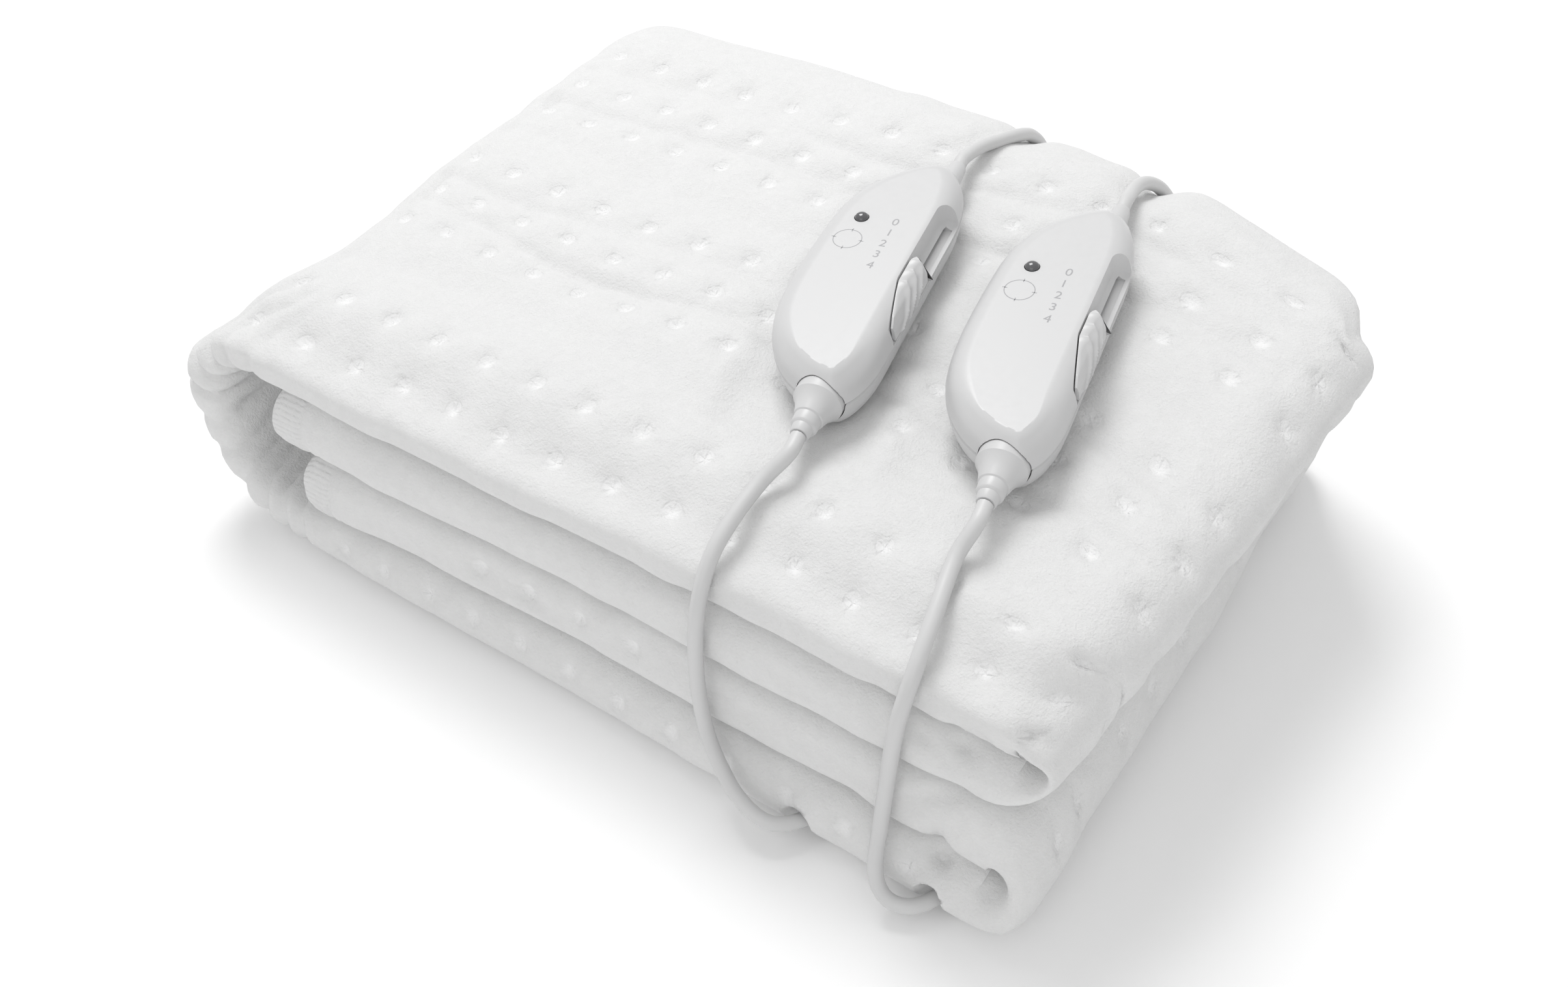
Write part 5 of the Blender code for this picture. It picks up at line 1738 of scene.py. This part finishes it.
class UNDERBLANKET_OT_controllers(Operator):
    """Both inline controllers: shells, thumb slides, lamps, strain reliefs and printing."""

    bl_idname = "underblanket.controllers"
    bl_label = "Controllers"

    def execute(self, context):
        sizes = context.scene.underblanket_controller
        shell = plastic_material("shell_plastic", sizes.colour, 0.36, 0.000010)
        ink = print_material(sizes.ink_colour)
        lens = lens_material(sizes.lamp_colour)
        for side in SIDES:
            self.add_shells(side, sizes, shell)
            self.add_slider(side, sizes, shell)
            self.add_lamp(side, lens)
            self.add_reliefs(side, shell)
            self.add_print(side, ink)
        return {"FINISHED"}

    def finish(self, name, data, side, finish, node, slot, body="pack"):
        """Puts a piece made about the controller's own middle in its place, and hides the solid's node that
        it replaces, if one is given.
        """
        data.transform(controller_frame(side))
        made = add_object(f"{name}_{side}", data, body)
        made.data.materials.append(finish)
        if node:
            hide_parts(f"{node}_{side}")
        return made

    def add_shells(self, side, sizes, shell):
        """Both shells, with their holes, the slide's recess and slot, and the lamp's seat."""
        step = sizes.outline_step
        last = TOP_RINGS[-1][0]
        base = loft("base", housing_rings(BASE_RINGS, BASE_RINGS, step), 30.0)
        top = loft("top", housing_rings(TOP_RINGS, END_RINGS, step), 30.0)
        x, y, z = RELIEF_PLACE
        relief = turned("relief_hole", ((0.0, RELIEF_HOLE), (HOLE_LENGTH, RELIEF_HOLE)),
                        (x, y + RELIEF_SUNK + CLEAR, z), (0, -1, 0), 48)
        x, y, z = SLEEVE_PLACE
        sleeve = turned("sleeve_hole", ((0.0, SLEEVE_HOLE), (HOLE_LENGTH, SLEEVE_HOLE)),
                        (x, y - SLEEVE_SUNK - CLEAR, z), (0, 1, 0), 32)
        corners = ((SLOT_IN, SLOT_LOW), (SLOT_OUT, SLOT_LOW), (SLOT_OUT, SLOT_HIGH), (SLOT_IN, SLOT_HIGH))
        slot = loft("slot", [[(x, y, z) for x, z in corners] for y in SLOT_RUN])
        x, y = LAMP_PLACE
        lamp = turned("lamp_hole", ((0.0, LAMP_RADIUS + CLEAR), (0.01, LAMP_RADIUS + CLEAR)),
                      (x, y, last - LAMP_SUNK - CLEAR), (0, 0, 1), 32)
        channel = self.channel()
        for name, data, tools in (
            ("base", base, (relief, sleeve)),
            ("top", top, (relief, sleeve, channel, slot, lamp)),
        ):
            made = self.finish(f"{name}_housing", data, side, shell, f"{name}_shell", "shell")
            holders = []
            for tool in tools:
                held = bpy.data.objects.new(f"tool_{tool.name}", tool.copy())
                bpy.context.scene.collection.objects.link(held)
                held.matrix_world = controller_frame(side)
                holders.append(held)
                change = made.modifiers.new(tool.name, "BOOLEAN")
                change.operation = "DIFFERENCE"
                change.solver = "EXACT"
                change.object = held
            bpy.context.view_layer.update()
            apply_modifiers(made)
            for held in holders:
                bpy.data.objects.remove(held)
            made.data.shade_smooth()
            made.data.set_sharp_from_angle(angle=math.radians(HOUSING_EDGE_ANGLE))
            weights = made.modifiers.new("even normals", "WEIGHTED_NORMAL")
            weights.keep_sharp = True
            weights.weight = 50

    def channel(self):
        """The slide's recess: a hollowed inner wall that runs out to the side at its low end."""
        low, high = CHANNEL
        end = high - CHANNEL_END
        rings = []
        for y in [*np.linspace(low, end, 40), *(end + CHANNEL_END * np.sin(np.linspace(0.1, 1.5708, 12)))]:
            hollow = hollow_edge(y, 0.0)
            lean = hollow[0][0] - 0.0010
            rings.append([(CUTTER_EDGE, y, CHANNEL_FLOOR), (CUTTER_EDGE, y, CUTTER_EDGE),
                          (lean, y, CUTTER_EDGE), *((x, y, z) for x, z in hollow)])
        return loft("channel", rings)

    def add_slider(self, side, sizes, shell):
        """The thumb slide: a leaf that follows the housing's shoulder, with swept ridges."""
        face_z, face_x = np.array(SLIDER_FACE).T
        low = CHANNEL_FLOOR + CLEAR + 0.0002
        rings = []
        for row in range(sizes.slider_rows + 1):
            share = 0.005 + 0.99 * row / sizes.slider_rows
            y = SLIDER_LOW + SLIDER_LENGTH * share
            end = float(round_in(SLIDER_ROUND - (SLIDER_LOW + SLIDER_LENGTH - y), SLIDER_ROUND))
            inner = [(x + end, z) for x, z in hollow_edge(y, 0.0004)][::-1]
            wall = inner[-1][0] - 0.0003
            top = float(np.interp(-(wall + 0.0008), -face_x, face_z))
            inner = [(x, min(z, top - 0.0006)) for x, z in inner]
            body = [(SLIDER_SIDE, low)]
            for step in range(SLIDER_STEPS):
                down = 1 - step / (SLIDER_STEPS - 1)
                z = low + 0.0004 + (top - low - 0.0004) * (1 - down)
                x = float(np.interp(z, face_z, face_x))
                ridge_share = share + SLIDER_RIDGE_SWEEP * down**1.4
                proud = sum(
                    high * math.exp(-(((ridge_share - at) / sizes.ridge_width) ** 2))
                    for at, high in SLIDER_RIDGES
                )
                body.append((x - end * 0.6 + proud * float(ramp(share, 0.0, 0.12)), z + 0.4 * proud))
            points = [*body, (wall, top), *inner[::-1]]
            rings.append([(x, y, z) for x, z in points])
        data = loft("slide", rings, 60.0)
        self.finish("thumb_slide", data, side, shell, "slider", "shell", f"{side}_slide")

    def add_lamp(self, side, lens):
        """The lamp's domed lens."""
        x, y = LAMP_PLACE
        dome = [(0.0, LAMP_RADIUS), (LAMP_SUNK, LAMP_RADIUS)]
        for step in range(1, 13):
            angle = math.pi / 2 * step / 13
            dome.append((LAMP_SUNK + LAMP_RADIUS * 0.7 * math.sin(angle), LAMP_RADIUS * math.cos(angle)))
        data = turned("lamp", dome, (x, y, TOP_RINGS[-1][0] - LAMP_SUNK), (0, 0, 1), 32)
        self.finish("lamp_lens", data, side, lens, "lamp", "lamp")

    def add_reliefs(self, side, shell):
        """The strain relief at the low end and the sleeve at the nose."""
        x, y, z = RELIEF_PLACE
        data = turned("relief", RELIEF_PROFILE, (x, y + RELIEF_SUNK, z), (0, -1, 0), 48, 25.0)
        self.finish("cord_relief", data, side, shell, "strain_relief", "shell")
        x, y, z = SLEEVE_PLACE
        data = turned("sleeve", SLEEVE_PROFILE, (x, y - SLEEVE_SUNK, z), (0, 1, 0), 32)
        self.finish("cord_sleeve", data, side, shell, "nose_sleeve", "shell")

    def add_print(self, side, ink):
        """The numbers beside the slide, and a plain ring with four ticks."""
        height = TOP_RINGS[-1][0]
        shape = bmesh.new()
        for number in range(HEAT_SETTINGS):
            text = bpy.data.curves.new("digit", "FONT")
            text.body = str(number)
            text.size = DIGIT_SIZE
            text.extrude = PRINT_PROUD
            text.align_x = "CENTER"
            text.align_y = "CENTER"
            holder = bpy.data.objects.new("digit", text)
            bpy.context.scene.collection.objects.link(holder)
            bpy.context.view_layer.update()
            evaluated = holder.evaluated_get(bpy.context.evaluated_depsgraph_get())
            data = bpy.data.meshes.new_from_object(evaluated)
            x, y = DIGITS_PLACE
            data.transform(Matrix.Translation((x, y - DIGITS_PITCH * number, height)))
            shape.from_mesh(data)
            bpy.data.objects.remove(holder)
            bpy.data.curves.remove(text)
            bpy.data.meshes.remove(data)
        digits = bpy.data.meshes.new("digits")
        shape.to_mesh(digits)
        shape.free()
        self.finish("numbers", digits, side, ink, None, "shell")
        points, faces = [], []
        x, y = BADGE_PLACE
        section = ((-RING_LINE, 0.0), (-RING_LINE, PRINT_PROUD), (RING_LINE, PRINT_PROUD), (RING_LINE, 0.0))
        for step in range(RING_STEPS):
            angle = 2 * math.pi * step / RING_STEPS
            for wider, up in section:
                radius = BADGE_RADIUS + wider
                points.append((x + radius * math.cos(angle), y + radius * math.sin(angle), height + up))
            this, following = step * 4, (step + 1) % RING_STEPS * 4
            for index in range(4):
                other = (index + 1) % 4
                faces.append((this + index, this + other, following + other, following + index))
        for tick in range(4):
            angle = math.pi / 2 * tick
            out = Vector((math.cos(angle), math.sin(angle), 0.0))
            aside = Vector((-out.y, out.x, 0.0))
            first = len(points)
            for up in (0.0, PRINT_PROUD):
                for reach, wide in ((-1, -1), (-1, 1), (1, 1), (1, -1)):
                    place = Vector((x, y, height + up)) + out * (BADGE_RADIUS + reach * TICK_REACH)
                    points.append(tuple(place + aside * wide * TICK_LINE))
            faces.append((first, first + 1, first + 2, first + 3))
            faces.append((first + 4, first + 7, first + 6, first + 5))
            for index in range(4):
                following = (index + 1) % 4
                faces.append((first + index, first + following, first + 4 + following, first + 4 + index))
        self.finish("ring_mark", mesh_from("ring", points, faces), side, ink, None, "shell")


# ---------------------------------------------------------------- stage
class UNDERBLANKET_OT_camera(Operator):
    """The camera, high over the front right corner."""

    bl_idname = "underblanket.camera"
    bl_label = "Camera"

    def execute(self, context):
        data = bpy.data.cameras.new("camera")
        data.lens = CAMERA_LENS
        data.sensor_width = CAMERA_SENSOR
        data.clip_start = CAMERA_CLIP
        camera = bpy.data.objects.new("camera", data)
        context.scene.collection.objects.link(camera)
        right, up, forward = (Vector(axis) for axis in CAMERA_AXES)
        turn = Matrix((right, up, -forward)).transposed()
        camera.matrix_world = Matrix.Translation(CAMERA_PLACE) @ turn.to_4x4()
        context.scene.camera = camera
        return {"FINISHED"}


class UNDERBLANKET_OT_stage(Operator):
    """A plain pale floor and soft studio light."""

    bl_idname = "underblanket.stage"
    bl_label = "Floor and lights"

    def execute(self, context):
        sizes = context.scene.underblanket_stage
        corners = [(x * FLOOR_HALF, y * FLOOR_HALF, 0) for x, y in ((-1, -1), (1, -1), (1, 1), (-1, 1))]
        data = bpy.data.meshes.new("floor")
        data.from_pydata(corners, [], [(0, 1, 2, 3)])
        floor = bpy.data.objects.new("floor", data)
        context.scene.collection.objects.link(floor)
        floor.location.z = -FLOOR_DROP
        pale, _ = base_material("floor_pale", sizes.floor_colour, 0.9)
        data.materials.append(pale)
        world = bpy.data.worlds.new("studio")
        world.use_nodes = True
        background = world.node_tree.nodes["Background"]
        background.inputs["Color"].default_value = (1.0, 1.0, 1.0, 1.0)
        background.inputs["Strength"].default_value = sizes.surround
        context.scene.world = world
        for name, place, size in LIGHTS:
            light = bpy.data.lights.new(name, "AREA")
            light.energy = getattr(sizes, f"{name}_power")
            light.size = size
            lamp = bpy.data.objects.new(name, light)
            context.scene.collection.objects.link(lamp)
            lamp.location = place
            lamp.rotation_euler = (Vector(LIGHT_AIM) - Vector(place)).to_track_quat("-Z", "Y").to_euler()
        context.scene.view_settings.view_transform = "Standard"
        return {"FINISHED"}


GROUPS = (
    # name on the scene, settings, operator
    ("underblanket_cords", UnderblanketCords, UNDERBLANKET_OT_cords),
    ("underblanket_cloth", UnderblanketCloth, UNDERBLANKET_OT_cloth),
    ("underblanket_controller", UnderblanketController, UNDERBLANKET_OT_controllers),
    ("underblanket_stage", UnderblanketStage, UNDERBLANKET_OT_stage),
)


class UNDERBLANKET_PT_panel(Panel):
    """Lists each operator under its settings."""

    bl_idname = "UNDERBLANKET_PT_panel"
    bl_label = "Electric underblanket"
    bl_space_type = "VIEW_3D"
    bl_region_type = "UI"
    bl_category = "Underblanket"

    def draw(self, context):
        self.layout.operator(UNDERBLANKET_OT_camera.bl_idname)
        for name, settings, operator in GROUPS:
            box = self.layout.box()
            for setting in settings.__annotations__:
                box.prop(getattr(context.scene, name), setting)
            box.operator(operator.bl_idname)


CLASSES = (
    *(settings for _, settings, _ in GROUPS),
    *(operator for _, _, operator in GROUPS),
    UNDERBLANKET_OT_camera,
    UNDERBLANKET_PT_panel,
)


def register():
    for made in CLASSES:
        bpy.utils.register_class(made)
    for name, settings, _ in GROUPS:
        setattr(bpy.types.Scene, name, PointerProperty(type=settings))


def unregister():
    for name, _, _ in GROUPS:
        delattr(bpy.types.Scene, name)
    for made in reversed(CLASSES):
        bpy.utils.unregister_class(made)


def main():
    register()
    bpy.ops.underblanket.camera()
    bpy.ops.underblanket.cords()
    bpy.ops.underblanket.cloth()
    bpy.ops.underblanket.controllers()
    bpy.ops.underblanket.stage()
    bpy.context.view_layer.update()


if __name__ == "__main__":
    main()
